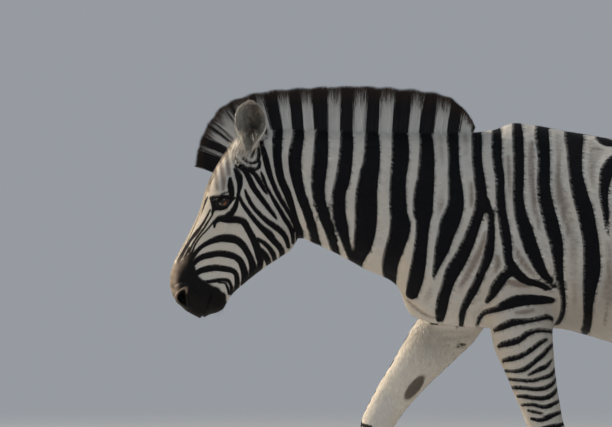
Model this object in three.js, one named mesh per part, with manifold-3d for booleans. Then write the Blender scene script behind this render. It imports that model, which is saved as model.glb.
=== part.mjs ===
// A plains zebra at life size, as a still model in several solid pieces: it walks slowly with its head
// lowered, the right foreleg forward and the left hind leg back, all four hooves flat on the floor.
// Millimetres, +Z up. It faces -X, its left side is -Y, and the floor is Z = 0. The shapes are worked
// out with X = 0 under the withers; the group is then moved so that the middle of its box is X = Y = 0.
import * as THREE from "three";
import { mergeVertices } from "three/addons/utils/BufferGeometryUtils.js";
import Module from "manifold-3d";

const wasm = await Module();
wasm.setup();

// ---------------------------------------------------------------- driving dimensions
const WITHERS = 1310; // height of the back over the shoulders
const GAP = 0.35; // clearance where two pieces meet
const BODY_SIDES = 24; // points round the trunk and neck
const HEAD_SIDES = 26;
const LEG_SIDES = 12;
const HOOF_SIDES = 16;
const EYE_RADIUS = 21;
const EYE = { u: 161, v: 8, y: 81 }; // centre of the eyeball in the head's own frame
const EAR_LENGTH = 146;
const MANE_HALF_WIDTH = 19; // half the mane's thickness at the skin
const ELBOW_CUT = 697; // height where a foreleg is parted from the trunk
const STIFLE_CUT = 752; // height where a hind leg is parted from the trunk

// The head's frame: u runs from the poll to the lips, v from the jaw to the forehead.
const HEAD_ORIGIN = { x: -770, z: 1215 };
const HEAD_PITCH = THREE.MathUtils.degToRad(62); // below the horizontal

// ---------------------------------------------------------------- stations
// Trunk and neck, by X: top line, underline, height of the widest place, half width,
// fullness of the upper and of the lower half (2 is an ellipse, more is squarer).
const BODY = [
  [-806, 1250, 1165, 1205, 34, 2.0, 2.0],
  [-770, 1281, 1085, 1180, 58, 2.0, 2.0],
  [-700, 1293, 1000, 1150, 71, 2.0, 2.1],
  [-620, 1294, 962, 1120, 77, 1.9, 2.2],
  [-532, 1292, 923, 1090, 83, 1.9, 2.2],
  [-440, 1288, 874, 1060, 94, 1.9, 2.1],
  [-372, 1285, 842, 1030, 107, 1.9, 2.0],
  [-344, 1284, 819, 1010, 114, 1.9, 1.85],
  [-330, 1283, 777, 990, 120, 1.9, 1.75],
  [-308, 1281, 736, 970, 128, 1.9, 1.75],
  [-240, 1280, 714, 950, 142, 1.85, 1.95],
  [-150, 1282, 706, 940, 156, 1.75, 2.1],
  [-72, 1288, 702, 935, 165, 1.7, 2.1],
  [0, WITHERS, 702, 930, 172, 1.7, 2.1],
  [60, 1304, 703, 930, 179, 1.8, 2.1],
  [130, 1290, 699, 930, 190, 1.9, 2.1],
  [210, 1276, 681, 930, 208, 2.0, 2.1],
  [290, 1263, 658, 930, 228, 2.1, 2.1],
  [380, 1255, 640, 930, 246, 2.15, 2.1],
  [470, 1254, 632, 930, 253, 2.2, 2.1],
  [560, 1262, 640, 935, 249, 2.25, 2.1],
  [640, 1276, 662, 950, 238, 2.35, 2.1],
  [700, 1284, 700, 975, 226, 2.4, 2.1],
  [760, 1282, 748, 1000, 213, 2.4, 2.1],
  [820, 1266, 796, 1030, 197, 2.4, 2.1],
  [870, 1238, 850, 1050, 176, 2.35, 2.1],
  [915, 1198, 905, 1060, 146, 2.3, 2.1],
  [945, 1152, 955, 1060, 108, 2.2, 2.1],
  [966, 1108, 1000, 1056, 66, 2.1, 2.0],
  [974, 1078, 1030, 1054, 28, 2.0, 2.0],
];

// Head, by u: forehead and nose line, jaw line, widest place, half width, fullness in front and behind.
const HEAD = [
  [-84, -2, -34, -16, 22, 2.0, 2.0],
  [-66, 32, -76, -14, 46, 2.0, 2.0],
  [-36, 57, -112, -4, 65, 2.1, 2.0],
  [0, 74, -142, 2, 76, 2.3, 2.0],
  [42, 79, -170, 12, 85, 2.6, 2.0],
  [84, 81, -198, 20, 92, 2.9, 2.0],
  [125, 80, -221, 18, 96, 2.9, 2.1],
  [160, 76, -233, 4, 95, 2.7, 2.2],
  [192, 69, -231, -18, 89, 2.5, 2.3],
  [230, 62, -213, -34, 80, 2.3, 2.4],
  [270, 60, -191, -42, 71, 2.2, 2.4],
  [306, 59, -174, -44, 64, 2.1, 2.4],
  [346, 59, -157, -44, 57, 2.1, 2.4],
  [386, 58, -142, -40, 53, 2.2, 2.4],
  [414, 54, -137, -38, 54, 2.3, 2.4],
  [438, 46, -137, -38, 54, 2.4, 2.4],
  [458, 34, -127, -40, 51, 2.4, 2.2],
  [475, 18, -110, -46, 45, 2.4, 2.1],
  [489, -6, -98, -54, 36, 2.2, 2.1],
  [499, -38, -88, -64, 22, 2.0, 2.0],
];

// Legs, by joint number along the leg: reach forwards and backwards of its line, half width.
const FORELEG = [
  [0.0, 66, 70, 36],
  [0.5, 94, 98, 57],
  [1.0, 98, 90, 64],
  [1.17, 98, 80, 62],
  [1.32, 90, 72, 58],
  [1.46, 80, 63, 53],
  [1.62, 70, 56, 47],
  [1.78, 62, 53, 43],
  [1.92, 56, 51, 43],
  [2.0, 54, 51, 44],
  [2.1, 46, 48, 40],
  [2.24, 33, 37, 30],
  [2.5, 27, 31, 23],
  [2.8, 28, 33, 25],
  [2.93, 34, 41, 31],
  [3.0, 37, 45, 33],
  [3.2, 33, 39, 30],
  [3.55, 30, 33, 28],
  [3.85, 36, 36, 33],
  [4.15, 36, 34, 33],
];
const HINDLEG = [
  [0.0, 92, 56, 46],
  [0.5, 134, 112, 74],
  [1.0, 142, 144, 84],
  [1.38, 118, 128, 74],
  [1.72, 90, 99, 61],
  [2.0, 70, 78, 52],
  [2.35, 52, 60, 42],
  [2.7, 42, 58, 36],
  [2.9, 44, 62, 36],
  [3.0, 45, 56, 37],
  [3.12, 40, 44, 34],
  [3.28, 31, 35, 27],
  [3.55, 28, 32, 23],
  [3.82, 29, 34, 25],
  [3.94, 35, 42, 31],
  [4.0, 37, 46, 33],
  [4.2, 33, 39, 30],
  [4.55, 30, 33, 28],
  [4.85, 35, 36, 32],
  [5.15, 35, 34, 32],
];

// The joints that a leg's line passes through: X, distance from the middle plane, Z, and where it stands.
const LEGS = {
  foreleg_left: {
    table: FORELEG, side: -1, girth: 1, toe: { x: 100, y: 88 },
    joints: [[-30, 112, 958], [18, 114, 715], [97, 92, 388], [147, 88, 156], [114, 88, 62]],
  },
  foreleg_right: {
    table: FORELEG, side: 1, girth: 0.94, toe: { x: -470, y: 88 },
    joints: [[-34, 112, 950], [-186, 112, 706], [-406, 92, 408], [-422, 88, 158], [-458, 88, 62]],
  },
  hindleg_left: {
    table: HINDLEG, side: -1, girth: 1, toe: { x: 978, y: 92 },
    joints: [[826, 112, 1178], [812, 122, 930], [864, 112, 690], [958, 96, 492], [1030, 92, 168], [992, 92, 62]],
  },
  hindleg_right: {
    table: HINDLEG, side: 1, girth: 1, toe: { x: 756, y: 92 },
    joints: [[826, 112, 1178], [798, 122, 930], [792, 112, 690], [852, 96, 488], [814, 92, 166], [770, 92, 62]],
  },
};

// The tail's line, X and Z, and its half thickness along it.
const DOCK_LINE = [[900, 1182], [955, 1176], [990, 1130], [1004, 1052], [1010, 955], [1012, 850]];
const DOCK = [[0, 40, 38, 44], [1, 34, 34, 38], [2, 26, 26, 28], [3, 22, 22, 23], [4, 18, 18, 19], [5, 12, 12, 13]];
const TUFT_LINE = [[1011, 968], [1012, 850], [1010, 700], [1005, 580], [1001, 470]];
const TUFT = [[0, 14, 14, 16], [0.4, 27, 27, 28], [1, 34, 34, 37], [2, 39, 38, 42], [3, 29, 28, 31], [3.6, 17, 16, 18], [4, 5, 5, 6]];

// Muscles and bones that stand out of the plain outline, or hollows that sink into it:
// centre, reach along each axis, height. The body's are X, Y, Z and the head's are u, v, y.
const BODY_SWELLS = [
  { at: [-70, 150, 1040], reach: [80, 80, 130], height: 13 }, // shoulder blade
  { at: [-262, 118, 850], reach: [62, 60, 75], height: 15 }, // point of the shoulder
  { at: [30, 165, 860], reach: [95, 80, 85], height: 20 }, // back of the upper arm
  { at: [-160, 140, 960], reach: [40, 70, 90], height: -5 }, // furrow before the blade
  { at: [654, 195, 1190], reach: [52, 60, 42], height: 9 }, // point of the hip
  { at: [606, 225, 1080], reach: [60, 80, 70], height: -11 }, // hollow of the flank
  { at: [-560, 78, 985], reach: [210, 60, 26], height: -5 }, // groove of the neck
];
const HEAD_SWELLS = [
  { at: [118, 34, 88], reach: [36, 26, 34], height: 9 }, // brow
  { at: [62, 44, 84], reach: [20, 18, 30], height: -7 }, // hollow over the brow
  { at: [146, -122, 78], reach: [54, 62, 40], height: 9 }, // cheek muscle
  { at: [232, -30, 72], reach: [60, 12, 30], height: 5 }, // crest of the face
  { at: [300, -78, 60], reach: [54, 22, 34], height: -6 }, // hollow behind the lips
  { at: [458, -10, 44], reach: [28, 24, 26], height: 8 }, // wing of the nostril
  { at: [446, -96, 36], reach: [26, 26, 30], height: 4 }, // lips
];

// ---------------------------------------------------------------- shape functions
const mirrored = (value, side) => (side < 0 ? -value : value);
const columns = (table) => table[0].map((_, c) => table.map((row) => row[c]));

// A smooth curve through the values at the stations that never swings past them.
function track(at, values, t) {
  const last = at.length - 1;
  const k = Math.min(Math.max(at.findIndex((a) => a > t) - 1, 0), last - 1);
  const i = t >= at[last] ? last - 1 : k;
  const slope = (j) => (values[j + 1] - values[j]) / (at[j + 1] - at[j]);
  const tangent = (j) => {
    if (j === 0) return slope(0);
    if (j === last) return slope(last - 1);
    const [before, after] = [slope(j - 1), slope(j)];
    return before * after <= 0 ? 0 : (2 * before * after) / (before + after);
  };
  const step = at[i + 1] - at[i];
  const s = Math.min(Math.max((t - at[i]) / step, 0), 1);
  const [s2, s3] = [s * s, s * s * s];
  return (
    (2 * s3 - 3 * s2 + 1) * values[i] + (s3 - 2 * s2 + s) * step * tangent(i) +
    (3 * s2 - 2 * s3) * values[i + 1] + (s3 - s2) * step * tangent(i + 1)
  );
}

// A curve through the given points, a whole number of t at each, with slightly stiffened bends.
function through(points, t, stiff = 0.42) {
  const last = points.length - 1;
  const i = Math.min(Math.max(Math.floor(t), 0), last - 1);
  const s = t - i;
  const bend = (j, c) => {
    const [a, b] = [points[Math.max(j - 1, 0)], points[Math.min(j + 1, last)]];
    return (b[c] - a[c]) * stiff;
  };
  const [s2, s3] = [s * s, s * s * s];
  return points[0].map((_, c) =>
    (2 * s3 - 3 * s2 + 1) * points[i][c] + (s3 - 2 * s2 + s) * bend(i, c) +
    (3 * s2 - 2 * s3) * points[i + 1][c] + (s3 - s2) * bend(i + 1, c));
}

// How far the swells raise the surface at a place, the same on the left and on the right.
function swelling(swells, a, b, c, across) {
  return swells.reduce((sum, { at, reach, height }) => {
    const place = [a, b, c];
    place[across] = Math.abs(place[across]);
    const far = place.reduce((d, p, i) => d + ((p - at[i]) / reach[i]) ** 2, 0);
    return sum + height * Math.exp(-0.5 * far);
  }, 0);
}

// One closed section: [sideways, upwards] pairs round a lopsided superellipse.
function section(sides, high, low, widest, half, fullHigh, fullLow, grow) {
  return Array.from({ length: sides }, (_, i) => {
    const angle = (2 * Math.PI * (i + 0.5)) / sides;
    const [c, s] = [Math.cos(angle), Math.sin(angle)];
    const power = 2 / (s > 0 ? fullHigh : fullLow);
    const rise = (s > 0 ? high - widest : widest - low) + grow;
    return [
      Math.sign(c) * Math.abs(c) ** power * (half + grow),
      widest + Math.sign(s) * Math.abs(s) ** power * rise,
    ];
  });
}

// Closes a stack of rings, each of the same number of points, into one surface.
function loft(rings) {
  const n = rings[0].length;
  const points = rings.flat();
  const faces = [];
  for (let r = 0; r + 1 < rings.length; r++)
    for (let i = 0; i < n; i++) {
      const j = (i + 1) % n;
      const [a, b, c, d] = [r * n + i, r * n + j, (r + 1) * n + j, (r + 1) * n + i];
      faces.push(a, b, c, a, c, d);
    }
  for (const first of [0, (rings.length - 1) * n]) {
    const middle = new THREE.Vector3();
    for (let i = 0; i < n; i++) middle.addScaledVector(points[first + i], 1 / n);
    points.push(middle);
    for (let i = 0; i < n; i++) {
      const [a, b] = [first + i, first + ((i + 1) % n)];
      faces.push(points.length - 1, first ? a : b, first ? b : a);
    }
  }
  const geometry = new THREE.BufferGeometry().setFromPoints(points);
  geometry.setIndex(faces);
  return solid(geometry);
}

// A closed geometry as a solid, turned the right way out.
function solid(geometry) {
  const bare = geometry.clone();
  bare.deleteAttribute("normal");
  bare.deleteAttribute("uv");
  const merged = mergeVertices(bare, 1e-3);
  const triVerts = new Uint32Array(merged.index.array);
  const vertProperties = merged.attributes.position.array;
  const made = new wasm.Manifold(new wasm.Mesh({ numProp: 3, vertProperties, triVerts }));
  if (made.volume() > 0) return made;
  for (let i = 0; i < triVerts.length; i += 3)
    [triVerts[i], triVerts[i + 1]] = [triVerts[i + 1], triVerts[i]];
  return new wasm.Manifold(new wasm.Mesh({ numProp: 3, vertProperties, triVerts }));
}

const box = (x0, x1, y0, y1, z0, z1) =>
  solid(new THREE.BoxGeometry(x1 - x0, y1 - y0, z1 - z0)
    .translate((x0 + x1) / 2, (y0 + y1) / 2, (z0 + z1) / 2));
const below = (height) => box(-2000, 2000, -600, 600, -100, height);
const above = (height) => box(-2000, 2000, -600, 600, height, 2000);

// Between the stations, about evenly spread values of t with every station among them.
function spread(table, parts) {
  return table.slice(0, -1).flatMap((row, i) => {
    const step = (table[i + 1][0] - row[0]) / parts;
    return Array.from({ length: parts }, (_, k) => row[0] + k * step);
  }).concat(table[table.length - 1][0]);
}

// ---------------------------------------------------------------- trunk and neck
function bodySolid(grow = 0) {
  const [at, ...rest] = columns(BODY);
  return loft(at.map((x) => {
    const values = rest.map((column) => track(at, column, x));
    return section(BODY_SIDES, ...values, grow).map(([y, z]) => {
      const [dy, dz] = [y, z - values[2]];
      const far = Math.hypot(dy, dz);
      const raised = 1 + swelling(BODY_SWELLS, x, y, z, 1) / far;
      return new THREE.Vector3(x, dy * raised, values[2] + dz * raised);
    });
  }));
}

// ---------------------------------------------------------------- head
const ALONG = new THREE.Vector3(-Math.cos(HEAD_PITCH), 0, -Math.sin(HEAD_PITCH));
const FOREHEAD = new THREE.Vector3(-Math.sin(HEAD_PITCH), 0, Math.cos(HEAD_PITCH));
const onHead = (u, v, y) =>
  new THREE.Vector3(HEAD_ORIGIN.x, y, HEAD_ORIGIN.z).addScaledVector(ALONG, u).addScaledVector(FOREHEAD, v);

function headSolid(grow = 0) {
  const [at, ...rest] = columns(HEAD);
  return loft(spread(HEAD, 1).map((u) => {
    const values = rest.map((column) => track(at, column, u));
    return section(HEAD_SIDES, ...values, grow).map(([y, v]) => {
      const [dy, dv] = [y, v - values[2]];
      const far = Math.hypot(dy, dv);
      const raised = 1 + swelling(HEAD_SWELLS, u, v, y, 2) / far;
      return onHead(u, values[2] + dv * raised, dy * raised);
    });
  }));
}

// The opening between the lids: an almond-shaped hollow over the eyeball.
function lidOpening(side) {
  const hollow = new THREE.SphereGeometry(1, 12, 6).scale(21, 14, 15);
  hollow.rotateZ(-0.12);
  const frame = new THREE.Matrix4().makeBasis(ALONG, FOREHEAD, new THREE.Vector3(0, side, 0));
  const centre = onHead(EYE.u, EYE.v, side * (EYE.y + 22));
  if (side > 0) hollow.scale(1, 1, -1);
  return solid(hollow.applyMatrix4(frame).translate(centre.x, centre.y, centre.z));
}

const eyeball = (side, grow = 0) =>
  solid(new THREE.SphereGeometry(EYE_RADIUS + grow, 14, 9).translate(...onHead(EYE.u, EYE.v, side * EYE.y)));

// The nostril: a slanting oval pit in the side of the muzzle.
function nostrilPit(side) {
  const pit = new THREE.SphereGeometry(1, 10, 6).scale(20, 14, 15);
  pit.rotateZ(0.3);
  const frame = new THREE.Matrix4().makeBasis(ALONG, FOREHEAD, new THREE.Vector3(0, side, 0));
  const centre = onHead(470, -11, side * 46);
  if (side > 0) pit.scale(1, 1, -1);
  return solid(pit.applyMatrix4(frame).translate(centre.x, centre.y, centre.z));
}

// The closed mouth: a shallow groove between the lips, from their tips to the corner.
function mouthGroove() {
  const corner = onHead(414, -84, 0);
  const lips = onHead(505, -92, 0);
  const length = corner.distanceTo(lips);
  const groove = new THREE.BoxGeometry(length, 160, 3.2);
  const lean = Math.atan2(corner.z - lips.z, corner.x - lips.x);
  groove.rotateY(-lean);
  groove.translate((corner.x + lips.x) / 2, 0, (corner.z + lips.z) / 2);
  return solid(groove);
}

// ---------------------------------------------------------------- ears
// A tube at the root that opens into a cupped leaf. From the root to the tip: half width,
// depth of the cup, thickness, and how far it wraps round to each side, in radians.
const EAR = [
  [0.0, 25, 25, 12, 2.75], [0.16, 29, 27, 8, 2.5], [0.32, 40, 29, 6, 1.95], [0.5, 49, 27, 5, 1.6],
  [0.68, 48, 22, 4.5, 1.5], [0.84, 37, 14, 4, 1.45], [0.94, 21, 7, 3.5, 1.45], [1.0, 6, 2, 3, 1.45],
];
const EAR_ROOT = { u: -14, v: 10, y: 52 };
function earSolid(side) {
  const arc = 8; // points across the outer face, and again across the inner one
  const [at, ...rest] = columns(EAR);
  const root = onHead(EAR_ROOT.u, EAR_ROOT.v, side * EAR_ROOT.y);
  const up = new THREE.Vector3(-0.03, side * 0.3, 1).normalize();
  const wide = new THREE.Vector3(1, side * 0.34, 0).normalize();
  wide.addScaledVector(up, -wide.dot(up)).normalize();
  const open = new THREE.Vector3().crossVectors(wide, up).multiplyScalar(-side).normalize();
  return loft(spread(EAR, 1).map((t) => {
    const [half, depth, thick, wrap] = rest.map((column) => track(at, column, t));
    const spot = (angle, inset) =>
      root.clone()
        .addScaledVector(up, t * EAR_LENGTH)
        .addScaledVector(wide, Math.sin(angle) * (half - inset))
        .addScaledVector(open, depth * 0.4 - Math.cos(angle) * (depth - inset));
    const angles = Array.from({ length: arc }, (_, i) => (-1 + (2 * i) / (arc - 1)) * wrap);
    return [...angles.map((a) => spot(a, 0)), ...angles.reverse().map((a) => spot(a, thick))];
  }));
}

// ---------------------------------------------------------------- mane
// Roots of the mane on the crest and the tips above them, from the forelock to the withers: X and Z.
const MANE_ROOTS = [
  [-872, 1160], [-853, 1216], [-826, 1250], [-786, 1270], [-735, 1278], [-660, 1279], [-570, 1277],
  [-480, 1274], [-390, 1271], [-300, 1267], [-215, 1265], [-158, 1266], [-126, 1268],
];
const MANE_TIPS = [
  [-934, 1178], [-921, 1243], [-893, 1304], [-846, 1358], [-774, 1394], [-676, 1408], [-575, 1414],
  [-475, 1418], [-380, 1413], [-285, 1405], [-198, 1386], [-146, 1342], [-122, 1298],
];
const MANE_THICK = [[0, 0.55], [1, 0.8], [2, 1], [10, 1], [11, 0.75], [12, 0.4]]; // share of the full thickness

function maneSolid() {
  const [at, share] = columns(MANE_THICK);
  const steps = MANE_ROOTS.length * 2 - 1;
  return loft(Array.from({ length: steps }, (_, k) => {
    const t = k / 2;
    const [rx, rz] = through(MANE_ROOTS, t, 0.5);
    const [tx, tz] = through(MANE_TIPS, t, 0.5);
    const half = MANE_HALF_WIDTH * track(at, share, t);
    const outline = [[0, 1], [0.55, 0.88], [1, 0.42]]; // height up the hair, share of the half thickness
    const point = (h, y) => new THREE.Vector3(rx + (tx - rx) * h, y, rz + (tz - rz) * h);
    return [
      ...outline.map(([h, w]) => point(h, half * w)),
      ...outline.reverse().map(([h, w]) => point(h, -half * w)),
    ];
  }));
}

// ---------------------------------------------------------------- legs, hooves and tail
function swept(line, table, sides, { girth = 1, side = 0, grow = 0, parts = 1 }) {
  const [at, ...rest] = columns(table);
  return loft(spread(table, parts).map((t) => {
    const [front, back, half] = rest.map((column) => track(at, column, t) * girth);
    const here = through(line, Math.min(t, line.length - 1 + 0.15));
    const [before, after] = [through(line, t - 0.02), through(line, t + 0.02)];
    const last = here.length - 1;
    const along = new THREE.Vector2(after[0] - before[0], after[last] - before[last]).normalize();
    const y0 = here.length === 3 ? mirrored(here[1], side) : 0;
    return section(sides, front, -back, 0, half, 2.15, 2.15, grow).map(([y, q]) =>
      new THREE.Vector3(here[0] + along.y * q, y0 + y, here[last] - along.x * q));
  }));
}

const legSolid = (name, grow = 0) => {
  const { table, side, girth, joints } = LEGS[name];
  return swept(joints, table, LEG_SIDES, { girth, side, grow });
};

// A hoof: its wall leans back from the toe, and its top slopes down to the heels.
// Height as a share, reach of the toe, reach of the heels and half width, from the floor up.
const HOOF = [[0, 58, 50, 42], [0.12, 57, 50, 42], [0.55, 47, 47, 39.5], [0.93, 37, 43, 37.5], [1.0, 34, 41, 35]];
const HOOF_TOE_HEIGHT = 80;
const HOOF_HEEL_HEIGHT = 46;
function hoofSolid(name, grow = 0) {
  const { side, toe } = LEGS[name];
  return loft(HOOF.map(([share, front, back, half]) =>
    Array.from({ length: HOOF_SIDES }, (_, i) => {
      const angle = (2 * Math.PI * i) / HOOF_SIDES;
      const [c, s] = [Math.cos(angle), Math.sin(angle)];
      const x = c > 0 ? -c * (front + grow) : -Math.sign(c) * Math.abs(c) ** 0.75 * (back + grow);
      const lean = THREE.MathUtils.mapLinear(x, -front, back, HOOF_TOE_HEIGHT, HOOF_HEEL_HEIGHT);
      const y = Math.sign(s) * Math.abs(s) ** 0.85 * (half + grow);
      const z = share * (lean + grow) - (share ? 0 : grow);
      return new THREE.Vector3(toe.x + 16 * share + x, mirrored(toe.y, side) + y, z);
    })));
}

const dockSolid = (grow = 0) => swept(DOCK_LINE, DOCK, 12, { grow, parts: 2 });
const tuftSolid = () => swept(TUFT_LINE, TUFT, 12, {});

// ---------------------------------------------------------------- assembly
const material = (color, roughness) => new THREE.MeshStandardMaterial({ color, roughness, metalness: 0 });
const COAT = material(0xd8cfc2, 0.8);
const HAIR = material(0x3a332e, 0.75);
const HORN = material(0x2b2724, 0.5);
const LENS = material(0x1a0f0a, 0.08);

const zebra = new THREE.Group();
function add(name, made, finish) {
  const { numProp, vertProperties, triVerts } = made.getMesh();
  const points = Float32Array.from({ length: (vertProperties.length / numProp) * 3 }, (_, i) =>
    vertProperties[Math.floor(i / 3) * numProp + (i % 3)]);
  const geometry = new THREE.BufferGeometry();
  geometry.setAttribute("position", new THREE.BufferAttribute(points, 3));
  geometry.setIndex(new THREE.BufferAttribute(new Uint32Array(triVerts), 1));
  geometry.computeVertexNormals();
  const piece = new THREE.Mesh(geometry, finish);
  piece.name = name;
  zebra.add(piece);
}

// A wedge that holds everything before a slanting plane from the breast to the withers.
function beforeShoulder(shift) {
  const slab = new THREE.BoxGeometry(1400, 800, 1600).translate(-700, 0, 0);
  slab.rotateY(-0.35);
  return solid(slab.translate(-232 + shift, 0, 1050));
}

const body = bodySolid();
const head = headSolid();
const headGrown = headSolid(GAP);
const legNames = Object.keys(LEGS);
const cutOf = (name) => (name.startsWith("fore") ? ELBOW_CUT : STIFLE_CUT);
const withLegTops = legNames.reduce((sum, name) => sum.add(legSolid(name).intersect(above(cutOf(name)))), body);
const neck = withLegTops.intersect(beforeShoulder(-GAP)).subtract(headGrown);
const trunk = withLegTops.subtract(beforeShoulder(0));
const sockets = [-1, 1].map((side) => eyeball(side, GAP).add(lidOpening(side)).add(nostrilPit(side)));
const headWhole = sockets.reduce((sum, pit) => sum.subtract(pit), head).subtract(mouthGroove());

add("head", headWhole, COAT);
add("neck", neck, COAT);
add("trunk", trunk, COAT);
for (const [word, side] of [["left", -1], ["right", 1]]) {
  add(`eye_${word}`, eyeball(side), LENS);
  add(`ear_${word}`, earSolid(side).subtract(headGrown).subtract(bodySolid(GAP)), COAT);
}
const grownBody = bodySolid(GAP);
add("mane", maneSolid().subtract(headGrown).subtract(grownBody), HAIR);
for (const name of legNames) {
  const hoof = hoofSolid(name);
  const leg = legSolid(name).intersect(below(cutOf(name) - GAP));
  add(name, leg.subtract(grownBody).subtract(hoofSolid(name, GAP)), COAT);
  add(name.replace("leg", "hoof"), hoof, HORN);
}
add("tail_dock", dockSolid().subtract(grownBody).subtract(
  legNames.reduce((sum, name) => sum.add(legSolid(name, GAP)), grownBody)), COAT);
add("tail_tuft", tuftSolid().subtract(dockSolid(GAP)), HAIR);

// The origin is on the floor, under the middle of the box round the whole animal.
const bounds = new THREE.Box3().setFromObject(zebra);
zebra.position.set(-(bounds.min.x + bounds.max.x) / 2, -(bounds.min.y + bounds.max.y) / 2, 0);

export default zebra;
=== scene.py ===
import math
import bmesh
import bpy
import numpy as np
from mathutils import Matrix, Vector
from mathutils.bvhtree import BVHTree


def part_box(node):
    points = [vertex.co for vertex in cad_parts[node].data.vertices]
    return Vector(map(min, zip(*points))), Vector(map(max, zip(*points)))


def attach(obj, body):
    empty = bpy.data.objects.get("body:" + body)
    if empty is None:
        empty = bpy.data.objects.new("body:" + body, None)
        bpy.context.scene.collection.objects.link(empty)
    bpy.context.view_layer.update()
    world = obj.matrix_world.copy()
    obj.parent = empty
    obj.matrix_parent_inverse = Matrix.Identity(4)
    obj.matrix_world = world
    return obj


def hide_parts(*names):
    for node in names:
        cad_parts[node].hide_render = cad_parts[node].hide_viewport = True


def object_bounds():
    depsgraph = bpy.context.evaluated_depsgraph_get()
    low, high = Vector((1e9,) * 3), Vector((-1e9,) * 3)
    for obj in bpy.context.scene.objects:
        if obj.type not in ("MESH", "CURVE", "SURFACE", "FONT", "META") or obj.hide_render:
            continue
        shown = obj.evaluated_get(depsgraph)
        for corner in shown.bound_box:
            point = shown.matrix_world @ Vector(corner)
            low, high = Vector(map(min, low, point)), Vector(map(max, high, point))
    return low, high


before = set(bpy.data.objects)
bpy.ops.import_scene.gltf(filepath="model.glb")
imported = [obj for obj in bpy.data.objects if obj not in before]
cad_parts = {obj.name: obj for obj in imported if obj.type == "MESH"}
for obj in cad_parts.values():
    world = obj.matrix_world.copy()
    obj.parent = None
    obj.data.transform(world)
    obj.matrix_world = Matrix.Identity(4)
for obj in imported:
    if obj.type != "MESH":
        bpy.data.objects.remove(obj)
cad_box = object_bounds()
chance = np.random.default_rng(41)

# ---------------------------------------------------------------- the animal's sizes, in millimetres
# X runs from the withers to the tail, Z up from the floor, and the head looks towards -X.
MM, CM = 0.001, 0.01
COAT_DEPTH = 3.0  # from the hair's tips down to the skin on the body
FACE_DEPTH = 1.5
SKIN_GRAIN = 0.0120  # size of the skin's faces on the trunk, in metres

# Trunk and neck, by X: top line, underline, height of the widest place, half width,
# fullness of the upper and of the lower half (2 is an ellipse, more is squarer).
BODY = [
    [-806, 1250, 1165, 1205, 34, 2.0, 2.0],
    [-770, 1281, 1085, 1180, 58, 2.0, 2.0],
    [-700, 1293, 1000, 1150, 71, 2.0, 2.1],
    [-620, 1294, 962, 1120, 77, 1.9, 2.2],
    [-532, 1292, 923, 1090, 83, 1.9, 2.2],
    [-440, 1288, 874, 1060, 94, 1.9, 2.1],
    [-372, 1285, 842, 1030, 107, 1.9, 2.0],
    [-344, 1284, 819, 1010, 114, 1.9, 1.85],
    [-330, 1283, 777, 990, 120, 1.9, 1.75],
    [-308, 1281, 736, 970, 128, 1.9, 1.75],
    [-240, 1280, 714, 950, 142, 1.85, 1.95],
    [-150, 1282, 706, 940, 156, 1.75, 2.1],
    [-72, 1288, 702, 935, 165, 1.7, 2.1],
    [0, 1310, 702, 930, 172, 1.7, 2.1],
    [60, 1304, 703, 930, 179, 1.8, 2.1],
    [130, 1290, 699, 930, 190, 1.9, 2.1],
    [210, 1276, 681, 930, 208, 2.0, 2.1],
    [290, 1263, 658, 930, 228, 2.1, 2.1],
    [380, 1255, 640, 930, 246, 2.15, 2.1],
    [470, 1254, 632, 930, 253, 2.2, 2.1],
    [560, 1262, 640, 935, 249, 2.25, 2.1],
    [640, 1276, 662, 950, 238, 2.35, 2.1],
    [700, 1284, 700, 975, 226, 2.4, 2.1],
    [760, 1282, 748, 1000, 213, 2.4, 2.1],
    [820, 1266, 796, 1030, 197, 2.4, 2.1],
    [870, 1238, 850, 1050, 176, 2.35, 2.1],
    [915, 1198, 905, 1060, 146, 2.3, 2.1],
    [945, 1152, 955, 1060, 108, 2.2, 2.1],
    [966, 1108, 1000, 1056, 66, 2.1, 2.0],
    [974, 1078, 1030, 1054, 28, 2.0, 2.0],
]

# The head's frame: u runs from the poll to the lips, v from the jaw to the forehead.
HEAD_ORIGIN = (-770, 1215)
HEAD_PITCH = math.radians(62)
# Head, by u: forehead and nose line, jaw line, widest place, half width, fullness in front and behind.
HEAD = [
    [-84, -2, -34, -16, 22, 2.0, 2.0],
    [-66, 32, -76, -14, 46, 2.0, 2.0],
    [-36, 57, -112, -4, 65, 2.1, 2.0],
    [0, 74, -142, 2, 76, 2.3, 2.0],
    [42, 79, -170, 12, 85, 2.6, 2.0],
    [84, 81, -198, 20, 92, 2.9, 2.0],
    [125, 80, -221, 18, 96, 2.9, 2.1],
    [160, 76, -233, 4, 95, 2.7, 2.2],
    [192, 69, -231, -18, 89, 2.5, 2.3],
    [230, 62, -213, -34, 80, 2.3, 2.4],
    [270, 60, -191, -42, 71, 2.2, 2.4],
    [306, 59, -174, -44, 64, 2.1, 2.4],
    [346, 59, -157, -44, 57, 2.1, 2.4],
    [386, 58, -142, -40, 53, 2.2, 2.4],
    [414, 54, -137, -38, 54, 2.3, 2.4],
    [438, 46, -137, -38, 54, 2.4, 2.4],
    [458, 34, -127, -40, 51, 2.4, 2.2],
    [475, 18, -110, -46, 45, 2.4, 2.1],
    [489, -6, -98, -54, 36, 2.2, 2.1],
    [499, -38, -88, -64, 22, 2.0, 2.0],
]

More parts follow.
